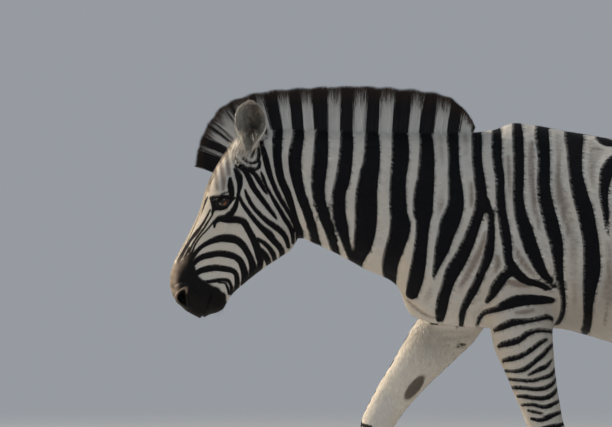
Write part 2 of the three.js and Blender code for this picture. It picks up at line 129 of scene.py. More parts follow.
# Legs, by joint number along the leg: reach forwards and backwards of its line, half width.
FORELEG = [
    [0.0, 66, 70, 36],
    [0.5, 94, 98, 57],
    [1.0, 98, 90, 64],
    [1.17, 98, 80, 62],
    [1.32, 90, 72, 58],
    [1.46, 80, 63, 53],
    [1.62, 70, 56, 47],
    [1.78, 62, 53, 43],
    [1.92, 56, 51, 43],
    [2.0, 54, 51, 44],
    [2.1, 46, 48, 40],
    [2.24, 33, 37, 30],
    [2.5, 27, 31, 23],
    [2.8, 28, 33, 25],
    [2.93, 34, 41, 31],
    [3.0, 37, 45, 33],
    [3.2, 33, 39, 30],
    [3.55, 30, 33, 28],
    [3.85, 36, 36, 33],
    [4.15, 36, 34, 33],
]
HINDLEG = [
    [0.0, 92, 56, 46],
    [0.5, 134, 112, 74],
    [1.0, 142, 144, 84],
    [1.38, 118, 128, 74],
    [1.72, 90, 99, 61],
    [2.0, 70, 78, 52],
    [2.35, 52, 60, 42],
    [2.7, 42, 58, 36],
    [2.9, 44, 62, 36],
    [3.0, 45, 56, 37],
    [3.12, 40, 44, 34],
    [3.28, 31, 35, 27],
    [3.55, 28, 32, 23],
    [3.82, 29, 34, 25],
    [3.94, 35, 42, 31],
    [4.0, 37, 46, 33],
    [4.2, 33, 39, 30],
    [4.55, 30, 33, 28],
    [4.85, 35, 36, 32],
    [5.15, 35, 34, 32],
]
# Each leg's side, girth, the middle of its hoof, and the joints that its line passes through:
# X, distance from the middle plane, Z.
LEGS = {
    "foreleg_left": (FORELEG, -1, 1.0, (100, 88), [
        [-30, 112, 958], [18, 114, 715], [97, 92, 388], [147, 88, 156], [114, 88, 62]]),
    "foreleg_right": (FORELEG, 1, 0.94, (-470, 88), [
        [-34, 112, 950], [-186, 112, 706], [-406, 92, 408], [-422, 88, 158], [-458, 88, 62]]),
    "hindleg_left": (HINDLEG, -1, 1.0, (978, 92), [
        [826, 112, 1178], [812, 122, 930], [864, 112, 690], [958, 96, 492], [1030, 92, 168], [992, 92, 62]]),
    "hindleg_right": (HINDLEG, 1, 1.0, (756, 92), [
        [826, 112, 1178], [798, 122, 930], [792, 112, 690], [852, 96, 488], [814, 92, 166], [770, 92, 62]]),
}

# The tail's line, X and Z, and its reach before, behind and to the side, by place along it.
DOCK_LINE = [[900, 1182], [955, 1176], [990, 1130], [1004, 1052], [1010, 955], [1012, 850]]
DOCK = [[0, 40, 38, 44], [1, 34, 34, 38], [2, 26, 26, 28], [3, 22, 22, 23], [4, 18, 18, 19], [5, 12, 12, 13]]
TUFT_LINE = [[1011, 968], [1012, 850], [1010, 700], [1005, 580], [1001, 470]]
TUFT = [[0, 14, 14, 16], [0.4, 27, 27, 28], [1, 34, 34, 37], [2, 39, 38, 42], [3, 29, 28, 31],
        [3.6, 17, 16, 18], [4, 5, 5, 6]]

# The ear, a tube at the root that opens into a cupped leaf, by share of its length:
# half width, depth of the cup, thickness, and how far it wraps round to each side in radians.
EAR = [
    [0.0, 25, 25, 12, 2.75], [0.16, 29, 27, 8, 2.5], [0.32, 40, 29, 6, 1.95], [0.5, 49, 27, 5, 1.6],
    [0.68, 48, 22, 4.5, 1.5], [0.84, 37, 14, 4, 1.45], [0.94, 21, 7, 3.5, 1.45], [1.0, 6, 2, 3, 1.45],
]
EAR_LENGTH = 146
EAR_ROOT = (-14, 10, 52)  # u, v, y

# The mane's roots on the crest and the tips above them, from the forelock to the withers: X and Z.
MANE_ROOTS = [
    [-872, 1160], [-853, 1216], [-826, 1250], [-786, 1270], [-735, 1278], [-660, 1279], [-570, 1277],
    [-480, 1274], [-390, 1271], [-300, 1267], [-215, 1265], [-158, 1266], [-126, 1268],
]
MANE_TIPS = [
    [-934, 1178], [-921, 1243], [-893, 1304], [-846, 1358], [-774, 1394], [-676, 1408], [-575, 1414],
    [-475, 1418], [-380, 1413], [-285, 1405], [-198, 1386], [-146, 1342], [-122, 1298],
]
MANE_THICK = [[0, 0.55], [1, 0.8], [2, 1], [10, 1], [11, 0.75], [12, 0.4]]
MANE_HALF_WIDTH = 19

# A hoof, by share of its height: reach of the toe, reach of the heels and half width.
HOOF = [[0, 58, 50, 42], [0.12, 57, 50, 42], [0.55, 47, 47, 39.5], [0.93, 37, 43, 37.5], [1.0, 34, 41, 35]]
HOOF_TOE_HEIGHT, HOOF_HEEL_HEIGHT, HOOF_LEAN = 80, 46, 16

EYE_RADIUS = 21
EYE = (161, 8, 81)  # centre of the eyeball: u, v, y

# Muscles and bones that stand out of the plain outline, or hollows that sink into it:
# centre, reach along each axis, height. The body's are X, Y, Z and the head's are u, v, y.
BODY_SWELLS = [
    ((-70, 150, 1040), (80, 80, 130), 13),  # shoulder blade
    ((-262, 118, 850), (62, 60, 75), 15),  # point of the shoulder
    ((30, 165, 860), (95, 80, 85), 20),  # back of the upper arm
    ((-160, 140, 960), (40, 70, 90), -5),  # furrow before the blade
    ((654, 195, 1190), (52, 60, 42), 9),  # point of the hip
    ((606, 225, 1080), (60, 80, 70), -11),  # hollow of the flank
    ((-560, 78, 985), (210, 60, 26), -5),  # groove of the neck
]
HEAD_SWELLS = [
    ((118, 34, 88), (36, 26, 34), 9),  # brow
    ((62, 44, 84), (20, 18, 30), -7),  # hollow over the brow
    ((146, -122, 78), (54, 62, 40), 9),  # cheek muscle
    ((232, -30, 72), (60, 12, 30), 5),  # crest of the face
    ((300, -78, 60), (54, 22, 34), -6),  # hollow behind the lips
    ((458, -10, 44), (28, 24, 26), 8),  # wing of the nostril
    ((446, -96, 36), (26, 26, 30), 4),  # lips
]

# The tables' X is counted from the withers; this moves it into the frame.
TO_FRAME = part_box("forehoof_left")[0].x - (LEGS["foreleg_left"][3][0] - HOOF[0][1]) * MM


# ---------------------------------------------------------------- curves
def ease(low, high, value):
    share = np.clip((value - low) / (high - low), 0, 1)
    return share * share * (3 - 2 * share)


def bell(distance, width):
    """1 in the middle, fading to nothing about two widths away."""
    return np.exp(-(distance / width) ** 2)


def hermite(s, start, leave, end, arrive):
    s2, s3 = s * s, s * s * s
    return (2*s3 - 3*s2 + 1) * start + (s3 - 2*s2 + s) * leave + (3*s2 - 2*s3) * end + (s3 - s2) * arrive


def track(table, t):
    """A smooth curve through each column of the table that never swings past its values."""
    table, t = np.asarray(table, float), np.atleast_1d(np.asarray(t, float))
    at, values = table[:, 0], table[:, 1:]
    slope = np.diff(values, axis=0) / np.diff(at)[:, None]
    total, product = slope[:-1] + slope[1:], slope[:-1] * slope[1:]
    inner = np.where(product > 0, 2 * product / np.where(product > 0, total, 1), 0)
    tangent = np.vstack([slope[:1], inner, slope[-1:]])
    i = np.clip(np.searchsorted(at, t, "right") - 1, 0, len(at) - 2)
    step = np.diff(at)[i][:, None]
    s = np.clip((t[:, None] - at[i][:, None]) / step, 0, 1)
    return hermite(s, values[i], step * tangent[i], values[i + 1], step * tangent[i + 1])


def through(points, t, stiff=0.42):
    """A curve through the points, a whole number of t at each."""
    points, t = np.asarray(points, float), np.atleast_1d(np.asarray(t, float))
    last = len(points) - 1

    def near(k):
        return points[np.clip(k, 0, last)]

    i = np.clip(np.floor(t), 0, last - 1).astype(int)
    s = (t - i)[:, None]
    return hermite(s, near(i), (near(i + 1) - near(i - 1)) * stiff,
                   near(i + 1), (near(i + 2) - near(i)) * stiff)


def unit(vectors):
    return vectors / np.maximum(np.linalg.norm(vectors, axis=-1, keepdims=True), 1e-9)


def dot(a, b):
    return (a * b).sum(-1)


def waves(points, size, seed, count=5):
    """A gentle random field between about -1 and 1 whose lumps are about size across."""
    own = np.random.default_rng(seed)
    turns = unit(own.normal(size=(count, points.shape[-1]))) * (2 * np.pi / size)
    turns = turns * own.uniform(0.6, 1.4, (count, 1))
    return np.sin(points @ turns.T + own.uniform(0, 6.28, count)).sum(-1) / count ** 0.5


# ---------------------------------------------------------------- closed surfaces
def section(sides, high, low, widest, half, full_high, full_low, grow):
    """Points round lopsided superellipses, one row for each station: sideways, upwards."""
    angle = 2 * np.pi * (np.arange(sides) + 0.5) / sides
    c, s = np.cos(angle), np.sin(angle)
    power = 2 / np.where(s > 0, full_high, full_low)
    rise = np.where(s > 0, high - widest, widest - low) + grow
    return (np.sign(c) * np.abs(c) ** power * (half + grow),
            widest + np.sign(s) * np.abs(s) ** power * rise)


def swelling(swells, a, b, c):
    total = 0
    for (p, q, r), (j, k, m), height in swells:
        far = ((a - p) / j) ** 2 + ((b - q) / k) ** 2 + ((c - r) / m) ** 2
        total = total + height * np.exp(-0.5 * far)
    return total


def closed(rings):
    """A stack of rings as one closed surface of triangles: its points and its faces."""
    count, sides = rings.shape[:2]
    points = np.vstack([rings.reshape(-1, 3), rings[0].mean(0), rings[-1].mean(0)])
    r, i = np.divmod(np.arange((count - 1) * sides), sides)
    j = (i + 1) % sides
    a, b, c, d = r * sides + i, r * sides + j, (r + 1) * sides + j, (r + 1) * sides + i
    k = np.arange(sides)
    following = (k + 1) % sides
    low, high = np.full(sides, len(points) - 2), np.full(sides, len(points) - 1)
    end = (count - 1) * sides
    faces = np.vstack([np.stack([a, b, c], 1), np.stack([a, c, d], 1),
                       np.stack([low, following, k], 1), np.stack([high, end + k, end + following], 1)])
    return points, faces


def body_surface(grow):
    x = np.linspace(BODY[0][0], BODY[-1][0], 240)
    high, low, widest, half, full_high, full_low = track(BODY, x).T[:, :, None]
    y, z = section(110, high, low, widest, half, full_high, full_low, grow)
    dz = z - widest
    raised = 1 + swelling(BODY_SWELLS, x[:, None], np.abs(y), z) / np.hypot(y, dz)
    return closed(np.stack([x[:, None] + 0 * y, y * raised, widest + dz * raised], -1) * MM)


ALONG = np.array([-math.cos(HEAD_PITCH), 0, -math.sin(HEAD_PITCH)])
FOREHEAD = np.array([-math.sin(HEAD_PITCH), 0, math.cos(HEAD_PITCH)])
POLL = np.array([HEAD_ORIGIN[0], 0, HEAD_ORIGIN[1]])


def on_head(u, v, y):
    """The place, in metres, of head coordinates in millimetres."""
    u, v, y = np.broadcast_arrays(*(np.asarray(k, float)[..., None] for k in (u, v, y)))
    return (POLL + ALONG * u + FOREHEAD * v + np.array([0, 1, 0]) * y) * MM


def head_place(points):
    """Head coordinates u, v, y in millimetres of places in metres."""
    away = points / MM - POLL
    return away @ ALONG, away @ FOREHEAD, points[..., 1] / MM


def head_surface(grow, fine=1):
    u = np.linspace(HEAD[0][0], HEAD[-1][0], 150 * fine)
    high, low, widest, half, full_high, full_low = track(HEAD, u).T[:, :, None]
    y, v = section(110 * fine, high, low, widest, half, full_high, full_low, grow)
    dv = v - widest
    raised = 1 + swelling(HEAD_SWELLS, u[:, None], v, np.abs(y)) / np.hypot(y, dv)
    return closed(on_head(u[:, None] + 0 * y, widest + dv * raised, y * raised))


def swept(line, table, grow, steps=150, sides=48, girth=1.0, side=0, tendon=None):
    """A limb or the dock: sections swept along a line of joints, with a hollow before the tendon."""
    t = np.linspace(table[0][0], table[-1][0], steps)
    front, back, half = (track(table, t) * girth).T[:, :, None]
    last = len(line) - 1
    here = through(line, np.minimum(t, last + 0.15))
    ahead = unit(through(line, t + 0.02)[:, [0, -1]] - through(line, t - 0.02)[:, [0, -1]])
    y, q = section(sides, front, -back, 0 * front, half, 2.15, 2.15, grow)
    if tendon:
        first, end, place, depth = tendon
        present = ease(first, first + 0.25, t) * (1 - ease(end - 0.25, end, t))
        y = y * (1 - depth * present[:, None] * bell(q + place * back, 0.3 * back))
    middle = side * here[:, 1:2] if len(line[0]) == 3 else 0
    x, z = here[:, :1] + ahead[:, 1:] * q, here[:, -1:] - ahead[:, :1] * q
    return closed(np.stack([x, middle + y, z], -1) * MM)


def leg_surface(name, grow):
    table, side, girth, _, joints = LEGS[name]
    tendon = (2.1, 2.95, 0.35, 0.24) if table is FORELEG else (2.35, 3.98, 0.42, 0.26)
    return swept(joints, table, grow, 190, 48, girth, side, tendon)


def ear_frame(side):
    root = on_head(EAR_ROOT[0], EAR_ROOT[1], side * EAR_ROOT[2])
    up = unit(np.array([-0.03, side * 0.3, 1]))
    wide = unit(np.array([1, side * 0.34, 0]))
    wide = unit(wide - up * dot(up, wide))
    return root, up, wide, -side * unit(np.cross(wide, up))


def ear_spot(side, t, across, inset):
    """A place on the ear: share of its length, share of the way across, depth into its wall."""
    root, up, wide, out = ear_frame(side)
    half, depth, thick, wrap = track(EAR, t).T
    angle, inset = across * wrap, inset * thick
    along, aside = t * EAR_LENGTH * MM, np.sin(angle) * (half - inset) * MM
    behind = (depth * 0.4 - np.cos(angle) * (depth - inset)) * MM
    return root + up * along[:, None] + wide * aside[:, None] + out * behind[:, None]


def ear_surface(side):
    arc = np.linspace(-1, 1, 24)
    rim = np.linspace(0, 1, 5)[1:-1]
    across = np.concatenate([arc, 0 * rim + 1, arc[::-1], 0 * rim - 1])
    inset = np.concatenate([0 * arc, rim, 0 * arc + 1, 1 - rim])
    rows = [ear_spot(side, np.full(len(across), t), across, inset) for t in np.linspace(0, 1, 42) ** 0.9]
    return closed(np.array(rows))


# ---------------------------------------------------------------- meshes
def mesh_of(name, points, faces):
    """A new object from places in metres and an array of faces with equal numbers of corners."""
    mesh = bpy.data.meshes.new(name)
    mesh.vertices.add(len(points))
    mesh.vertices.foreach_set("co", (points + [TO_FRAME, 0, 0]).astype(np.float32).ravel())
    mesh.loops.add(faces.size)
    mesh.loops.foreach_set("vertex_index", faces.astype(np.int32).ravel())
    mesh.polygons.add(len(faces))
    mesh.polygons.foreach_set("loop_start", np.arange(len(faces), dtype=np.int32) * faces.shape[1])
    mesh.update(calc_edges=True)
    mesh.shade_smooth()
    piece = bpy.data.objects.new(name, mesh)
    bpy.context.scene.collection.objects.link(piece)
    return piece


def places(mesh):
    points = np.empty(len(mesh.vertices) * 3, np.float32)
    mesh.vertices.foreach_get("co", points)
    return points.reshape(-1, 3).astype(float) - [TO_FRAME, 0, 0]


def move_to(mesh, points):
    mesh.vertices.foreach_set("co", (points + [TO_FRAME, 0, 0]).astype(np.float32).ravel())
    mesh.update()


def normals(mesh):
    found = np.empty(len(mesh.vertices) * 3, np.float32)
    mesh.vertex_normals.foreach_get("vector", found)
    return found.reshape(-1, 3).astype(float)


def edges(mesh):
    ends = np.empty(len(mesh.edges) * 2, np.int32)
    mesh.edges.foreach_get("vertices", ends)
    return ends.reshape(-1, 2)


def hold(mesh, name, values):
    """Gives each point of a mesh a named value or triple, for its finish."""
    kind, key = ("FLOAT", "value") if values.ndim == 1 else ("FLOAT_VECTOR", "vector")
    field = mesh.attributes.new(name, kind, "POINT")
    field.data.foreach_set(key, values.astype(np.float32).ravel())


def face_outwards(mesh):
    shape = bmesh.new()
    shape.from_mesh(mesh)
    bmesh.ops.recalc_face_normals(shape, faces=shape.faces)
    shape.to_mesh(mesh)
    shape.free()


def spread(values, ends, times, share=0.5):
    """Each value drawn towards the mean of its neighbours, several times."""
    a, b = ends.T
    count = np.bincount(ends.ravel(), minlength=len(values))
    values = values.reshape(len(values), -1).copy()
    for _ in range(times):
        total = [np.bincount(a, k[b], len(k)) + np.bincount(b, k[a], len(k)) for k in values.T]
        values += share * (np.stack(total, 1) / np.maximum(count, 1)[:, None] - values)
    return values.squeeze()


def relax(points, ends, weight, times):
    """Smooths the places by weight without shrinking the form much."""
    for step in range(2 * times):
        share = (0.5, -0.51)[step % 2]
        points = points + weight[:, None] * (spread(points, ends, 1, share) - points)
    return points


def applied(piece, kind, **settings):
    """The piece's mesh replaced by what one modifier makes of it."""
    modifier = piece.modifiers.new(kind, kind)
    for key, value in settings.items():
        setattr(modifier, key, value)
    result = piece.evaluated_get(bpy.context.evaluated_depsgraph_get())
    made = bpy.data.meshes.new_from_object(result)
    piece.modifiers.clear()
    old, piece.data = piece.data, made
    bpy.data.meshes.remove(old)
    return made


def refine(piece, chosen, cuts):
    """Cuts the edges of the chosen faces, told by the places of the faces' middles."""
    shape = bmesh.new()
    shape.from_mesh(piece.data)
    shape.faces.ensure_lookup_table()
    middles = np.array([face.calc_center_median() for face in shape.faces]) - [TO_FRAME, 0, 0]
    wanted = np.flatnonzero(chosen(middles))
    cut = list({edge for k in wanted for edge in shape.faces[k].edges})
    bmesh.ops.subdivide_edges(shape, edges=cut, cuts=cuts, use_grid_fill=True)
    shape.to_mesh(piece.data)
    shape.free()
    piece.data.update()


def nearest_on(surface, points):
    """The nearest places of a closed surface, and how far they are."""
    tree = BVHTree.FromPolygons(surface[0].tolist(), surface[1].tolist())
    found = [tree.find_nearest(Vector(p)) for p in points]
    return np.array([f[0] for f in found]), np.array([f[3] for f in found])


def path_of(knots, parts=8):
    """A smooth path through the knots, with parts steps between two of them."""
    knots = np.asarray(knots, float)
    return through(knots, np.linspace(0, len(knots) - 1, (len(knots) - 1) * parts + 1), 0.5)


def off_path(points, path):
    """Of each point the distance to a path of a few columns, and the path's place there."""
    best = np.full(len(points), 1e9)
    at = np.zeros(len(points))
    for k in range(len(path) - 1):
        a, step = path[k], path[k + 1] - path[k]
        share = np.clip((points - a) @ step / max(step @ step, 1e-12), 0, 1)
        far = np.linalg.norm(points - a - share[:, None] * step, axis=1)
        closer = far < best
        best[closer], at[closer] = far[closer], k + share[closer]
    return best, at


# ---------------------------------------------------------------- the skin's shape
def whole_skin():
    """One closed skin over trunk, neck, head, legs and dock, evenly remeshed; refine_skin makes it finer on
    the face and the lower legs.
    """
    parts = [body_surface(-COAT_DEPTH), head_surface(-FACE_DEPTH)]
    parts += [leg_surface(name, -COAT_DEPTH + 0.6) for name in LEGS]
    parts += [swept(DOCK_LINE, DOCK, -1.0)]
    points = np.vstack([p for p, _ in parts])
    starts = np.cumsum([0] + [len(p) for p, _ in parts[:-1]])
    faces = np.vstack([f + start for (_, f), start in zip(parts, starts)])
    skin = mesh_of("coat_skin", points, faces)
    mesh = applied(skin, "REMESH", mode="VOXEL", voxel_size=SKIN_GRAIN, adaptivity=0)
    points, ends = places(mesh), edges(mesh)
    bend = dot(spread(points, ends, 2) - points, normals(mesh)) / SKIN_GRAIN
    crease = np.clip(spread(ease(0.05, 0.14, bend), ends, 8) * 2.2, 0, 1)
    points = relax(points, ends, np.clip(0.25 + crease, 0, 1), 10)
    points = points + crease[:, None] * (spread(points, ends, 14) - points)
    move_to(mesh, points)
    return skin


def in_profile(points, spare):
    """Whether places lie in the head's outline from the side, with some room round it."""
    u, v, _ = head_place(points)
    high, low = track(HEAD, u)[:, 0], track(HEAD, u)[:, 1]
    return (u > -45) & (v > low - spare) & (v < high + spare)


def by_left_foreleg(points):
    return (np.abs(points[:, 0] - 0.05) < 0.15) & (points[:, 1] < 0)


def refine_skin(skin):
    refine(skin, lambda p: in_profile(p, 14), 2)
    refine(skin, lambda p: p[:, 2] < np.where(by_left_foreleg(p), 0.80, 0.62), 1)
    mesh = skin.data
    points, ends = places(mesh), edges(mesh)
    on_face = in_profile(points, 10)
    low_leg = points[:, 2] < 0.80
    points = relax(points, ends, np.where(on_face | low_leg, 1.0, 0.0), 3)
    face = np.flatnonzero(on_face)
    near, far = nearest_on(head_surface(-FACE_DEPTH, 2), points[face])
    points[face] += (1 - ease(0.002, 0.006, far))[:, None] * (near - points[face])
    points = relax(points, ends, np.where(on_face, 0.6, 0.0), 1)
    move_to(mesh, points)


def add_ears(skin):
    for side in (-1, 1):
        ear = mesh_of("ear", *ear_surface(side))
        face_outwards(ear.data)
        applied(skin, "BOOLEAN", operation="UNION", object=ear, solver="MANIFOLD")
        bpy.data.objects.remove(ear)


# ---------------------------------------------------------------- the face's own forms
EYE_TILT, EYE_LENGTH, EYE_OVER, EYE_UNDER = 0.72, 20.5, 12.5, 10.0  # the opening between the lids
NOSTRIL = (470, -12, 46)  # u, v, y
NOSTRIL_TILT, NOSTRIL_LENGTH, NOSTRIL_WIDTH, NOSTRIL_DEPTH = -0.62, 21, 12.5, 24
MOUTH = [(408, -70), (418, -84), (440, -90), (470, -91), (505, -93)]  # from its corner to the lips: u, v
FALSE_NOSTRIL = [(446, 24), (424, 8), (418, -14), (430, -38)]  # the fold behind the nostril: u, v


def by_eye(points):
    """Places about the nearer eyeball: along the lids, across them and outwards, and how far
    out of the opening they are, 1 on its rim."""
    u, v, y = head_place(points)
    du, dv, out = u - EYE[0], v - EYE[1], np.abs(y) - EYE[2]
    c, s = math.cos(EYE_TILT), math.sin(EYE_TILT)
    a, b = du * c + dv * s, -du * s + dv * c
    height = np.where(b > 0, EYE_OVER, EYE_UNDER)
    rim = np.sqrt((a / EYE_LENGTH) ** 2 + (b / height) ** 2 * (1 + 0.7 * (a / EYE_LENGTH) ** 2))
    return a, b, out, np.where(out > -14, rim, 9)


def by_nostril(points):
    """How far out of the nearer nostril's opening places are, 1 on its rim."""
    u, v, y = head_place(points)
    du, dv = u - NOSTRIL[0], v - NOSTRIL[1]
    c, s = math.cos(NOSTRIL_TILT), math.sin(NOSTRIL_TILT)
    a, b = du * c + dv * s, -du * s + dv * c
    b = b + 0.018 * a * a
    return np.hypot(a / NOSTRIL_LENGTH, b / NOSTRIL_WIDTH) + 3 * (np.abs(y) < 18)


def by_mouth(points):
    """Distance from the line of the lips in millimetres."""
    u, v, _ = head_place(points)
    return off_path(np.stack([u, v], 1), path_of(MOUTH))[0]


def shape_face(skin):
    for reach, cuts in ((1.9, 1), (1.45, 1)):
        refine(skin, lambda p: (by_eye(p)[3] < reach) | ((by_nostril(p) < reach) & (cuts == 1)), cuts)
    refine(skin, lambda p: (by_mouth(p) < 5) & in_profile(p, 9), 1)
    mesh = skin.data
    points, ends = places(mesh), edges(mesh)
    a, b, _, rim = by_eye(points)
    near_eye = (rim < 3.4) & in_profile(points, 9)
    points = relax(points, ends, np.where(near_eye | (by_nostril(points) < 2), 1.0, 0.0), 2)
    outward = normals(mesh)
    u, v, y = head_place(points)
    profile = np.stack([u, v], 1)

    # The brow stands over the eye, with folds above the upper lid and one under the lower lid.
    raised = 2.6 * np.exp(-((a + 2) / 24) ** 2 - ((b - 27) / 8) ** 2)
    raised += -1.5 * bell(rim - 1.62, 0.13) * ease(-2, 6, b)
    raised += -0.9 * bell(rim - 2.05, 0.12) * ease(0, 8, b)
    raised += -1.0 * bell(rim - 1.75, 0.15) * ease(2, -5, b)
    raised += 0.7 * bell(rim - 2.3, 0.15) * ease(2, -6, b)
    # The lips: a groove between them, fuller above it and below it, with a fold at the corner.
    mouth = off_path(profile, path_of(MOUTH))[0]
    raised += -3.4 * bell(mouth, 2.0) * ease(404, 424, u)
    raised += 1.3 * bell(mouth - 7, 4.5) * ease(410, 440, u)
    for k in range(3):
        corner = [(402 - 9 * k, -62 - 6 * k), (400 - 10 * k, -84), (410 - 9 * k, -104)]
        fold = off_path(profile, path_of(corner))[0]
        raised += -0.8 * bell(fold, 1.7)
    # The nostril's raised rim, and the fold of the false nostril behind it.
    nostril = by_nostril(points)
    raised += 3.4 * bell(nostril - 1.28, 0.22)
    fold = off_path(profile, path_of(FALSE_NOSTRIL))[0]
    raised += -2.2 * bell(fold, 4) * ease(20, 34, np.abs(y))
    # Veins and the bony crest under thin skin.
    for path, height, width in FACE_LINES:
        line = off_path(profile, path_of(path))[0]
        raised += height * bell(line, width) * ease(0.2, 0.5, np.abs(outward[:, 1]))
    on_face = in_profile(points, 10)
    points = points + (raised * on_face)[:, None] * MM * outward

    # The nostril's pit runs inwards and a little back.
    pit = (0.65 * ease(1.06, 0.66, nostril) + 0.6 * ease(0.8, 0.0, nostril)) * on_face
    inward = np.stack([0 * y + 0.25, -np.sign(y) * 0.9, 0 * y + 0.2], 1)
    points = points + (pit * NOSTRIL_DEPTH * MM)[:, None] * inward
    # The lids: their edges rest on the eyeball, and inside them the skin dips behind it.
    centre = on_head(EYE[0] + 0 * y, EYE[1], np.sign(y) * EYE[2])
    away = points - centre
    far = np.linalg.norm(away, axis=1) / MM
    lid = np.interp(rim, [0.84, 0.98, 1.02, 1.12, 1.26, 1.55, 1.9],
                    [17.0, 20.4, 22.4, 24.0, 24.6, 24.8, 25.5])
    hold = ease(1.9, 1.2, rim) * near_eye
    target = np.where(rim < 1.25, lid, np.minimum(far, lid + 1.5 * ease(1.25, 1.9, rim) + 0.6))
    points = centre + away * ((far + hold * (target - far)) / np.maximum(far, 1e-6))[:, None]
    move_to(mesh, points)


# Veins, bony crests and folds of the head: places u and v, height and half width.
FACE_LINES = [
    ([(205, -28), (250, -36), (292, -40)], 1.8, 5.0),
    ([(236, -120), (252, -84), (282, -52), (330, -30), (372, -20)], 1.3, 3.0),
    ([(282, -52), (322, -56), (366, -62), (396, -60)], 0.9, 2.4),
    ([(330, -30), (350, -6), (356, 18)], 0.8, 2.2),
    ([(182, -60), (196, -104), (202, -150), (196, -196)], -1.6, 6.0),
    ([(60, -40), (92, -72), (130, -78)], -1.4, 7.0),
    ([(230, -196), (270, -176), (320, -150), (380, -128)], 1.6, 6.0),
    ([(84, 83), (109, 66), (137, 45)], -1.6, 3.0),
    ([(62, 74), (90, 52), (118, 33)], -1.6, 3.2),
    ([(30, 68), (64, 45), (84, 33)], -1.4, 3.2),
    ([(97, 87), (129, 73), (158, 63)], -1.2, 2.6),
    ([(86, 74), (114, 56), (140, 36)], 1.2, 2.6),
    ([(60, 60), (88, 42), (112, 25)], 1.2, 2.6),
]

# Lines where muscle, bone or skin folds stand out (+) or sink in, seen from the side:
# X and Z in centimetres, half width in centimetres and height in millimetres.
BODY_LINES = [
    ([(-2, 126), (-9, 116), (-15, 104), (-22, 93)], 2.6, 4.0),
    ([(9, 122), (12.5, 108), (14, 94), (12.5, 82)], 2.2, -4.0),
    ([(-14, 112), (-8, 98), (-3, 88)], 3.0, -2.5),
    ([(12, 88), (5, 81), (-3, 77), (-10, 76)], 1.6, -3.5),
    ([(-66, 104), (-46, 97), (-32, 91), (-23, 86)], 2.6, 4.0),
    ([(-63, 98.5), (-46, 91.5), (-34, 84)], 1.6, -4.0),
    ([(-70, 113), (-50, 108), (-30, 105)], 2.4, -2.4),
    ([(-68, 124.5), (-40, 123), (-14, 122.5)], 1.6, -2.0),
    ([(60, 80), (66, 75), (70, 70)], 1.8, 5.0),
    ([(67, 104), (71, 90), (73.5, 78)], 3.0, 6.0),
    ([(85, 114), (89, 101), (91, 88), (91, 78)], 1.6, -5.0),
    ([(78, 116), (80, 104), (83, 92)], 2.4, -2.5),
    ([(66, 120), (72, 113), (80, 109)], 2.6, 3.0),
    ([(24, 78), (38, 73), (52, 73), (62, 78)], 2.2, -3.0),
    ([(9.4, 87.5), (12, 83.5), (13.4, 79)], 0.45, -2.2),
    ([(10.6, 90), (13.4, 85.5), (14.8, 80.5)], 0.45, -2.0),
    ([(9.2, 83.5), (11.2, 80), (12, 76)], 0.4, -1.8),
    ([(12.2, 78), (13.2, 73), (12.4, 70)], 0.45, -2.0),
    ([(-64.5, 100), (-63, 97), (-60.4, 94.4)], 0.6, -2.4),
    ([(-66.5, 101.5), (-65, 97), (-62.4, 93)], 0.7, -2.0),
    ([(-9.5, 80), (-12.6, 77.5), (-15.5, 76.6)], 0.7, -2.0),
    ([(-34, 82), (-30, 79.6), (-26, 76.6), (-22, 75)], 0.9, 3.0),
    ([(-33, 80), (-29.5, 76.6), (-26.5, 74.6), (-22, 73.4)], 0.6, -3.0),
    ([(-24, 71.2), (-17, 70.6), (-9.5, 69)], 0.5, -2.0),
    ([(-21, 69), (-15, 68.8), (-9, 68.2)], 0.45, -1.8),
    ([(-24, 66), (-17, 67), (-9, 67.4)], 0.5, -1.8),
    ([(-20, 63), (-14, 65), (-8.6, 66.6)], 0.5, -1.6),
]


def shape_body(skin):
    """Muscles, ribs, folds and bones that show through the coat."""
    mesh = skin.data
    points, outward = places(mesh), normals(mesh)
    side_view, sideways = points[:, [0, 2]] / CM, np.abs(outward[:, 1])
    body = ~in_profile(points, 12)
    raised = np.zeros(len(points))
    for path, width, height in BODY_LINES:
        reach = np.abs(side_view - np.mean(path, 0)).max(1) < 40
        k = np.flatnonzero(reach & body)
        raised[k] += height * bell(off_path(side_view[k], path_of(path))[0], width)
    for k in range(10):
        path = [(22 + 4.6 * k, 112), (20.5 + 4.6 * k, 98), (17 + 5.0 * k, 84)]
        rib = bell(off_path(side_view, path_of(path, 3))[0], 1.2)
        raised += 1.3 * rib * ease(104, 96, side_view[:, 1])
    raised *= ease(0.15, 0.5, sideways)
    breast = bell(points[:, 1], 0.016) * ease(-0.16, -0.24, points[:, 0])
    raised -= 7 * breast * ease(0.66, 0.74, points[:, 2]) * ease(0.90, 0.80, points[:, 2])
    raised += 0.5 * waves(points, 0.06, 5) + 0.8 * waves(points, 0.16, 6)
    for name in LEGS:
        for at, q, width, height in LEG_KNOBS[LEGS[name][0] is HINDLEG]:
            spot, ahead = leg_line(name, at)
            spot = spot + ahead * q * CM
            raised += height * bell(np.linalg.norm(points - spot, axis=1), width * CM)
    points = points + (raised * body)[:, None] * MM * outward
    points[:, 1] *= 1 - 0.012 * ease(0.235, 0.25, np.abs(points[:, 1]))
    move_to(mesh, points)


# Bony places on the legs: joint number, forwards of the line and half width in centimetres, height.
LEG_KNOBS = (
    [(1.93, 3.6, 2.6, 3), (2.08, 3.4, 2.0, 2), (1.98, -4.8, 2.2, 4),
     (2.96, 2.6, 1.8, 2.5), (3.04, -4.2, 1.8, 4), (3.86, -3.2, 1.8, 6)],
    [(2.92, -5.6, 2.2, 5), (3.05, 3.4, 2.2, 3), (3.98, 2.8, 1.8, 2.5),
     (4.03, -4.2, 1.8, 0.8), (1.9, 6.0, 3.0, 4), (4.86, -3.2, 1.8, 6)],
)


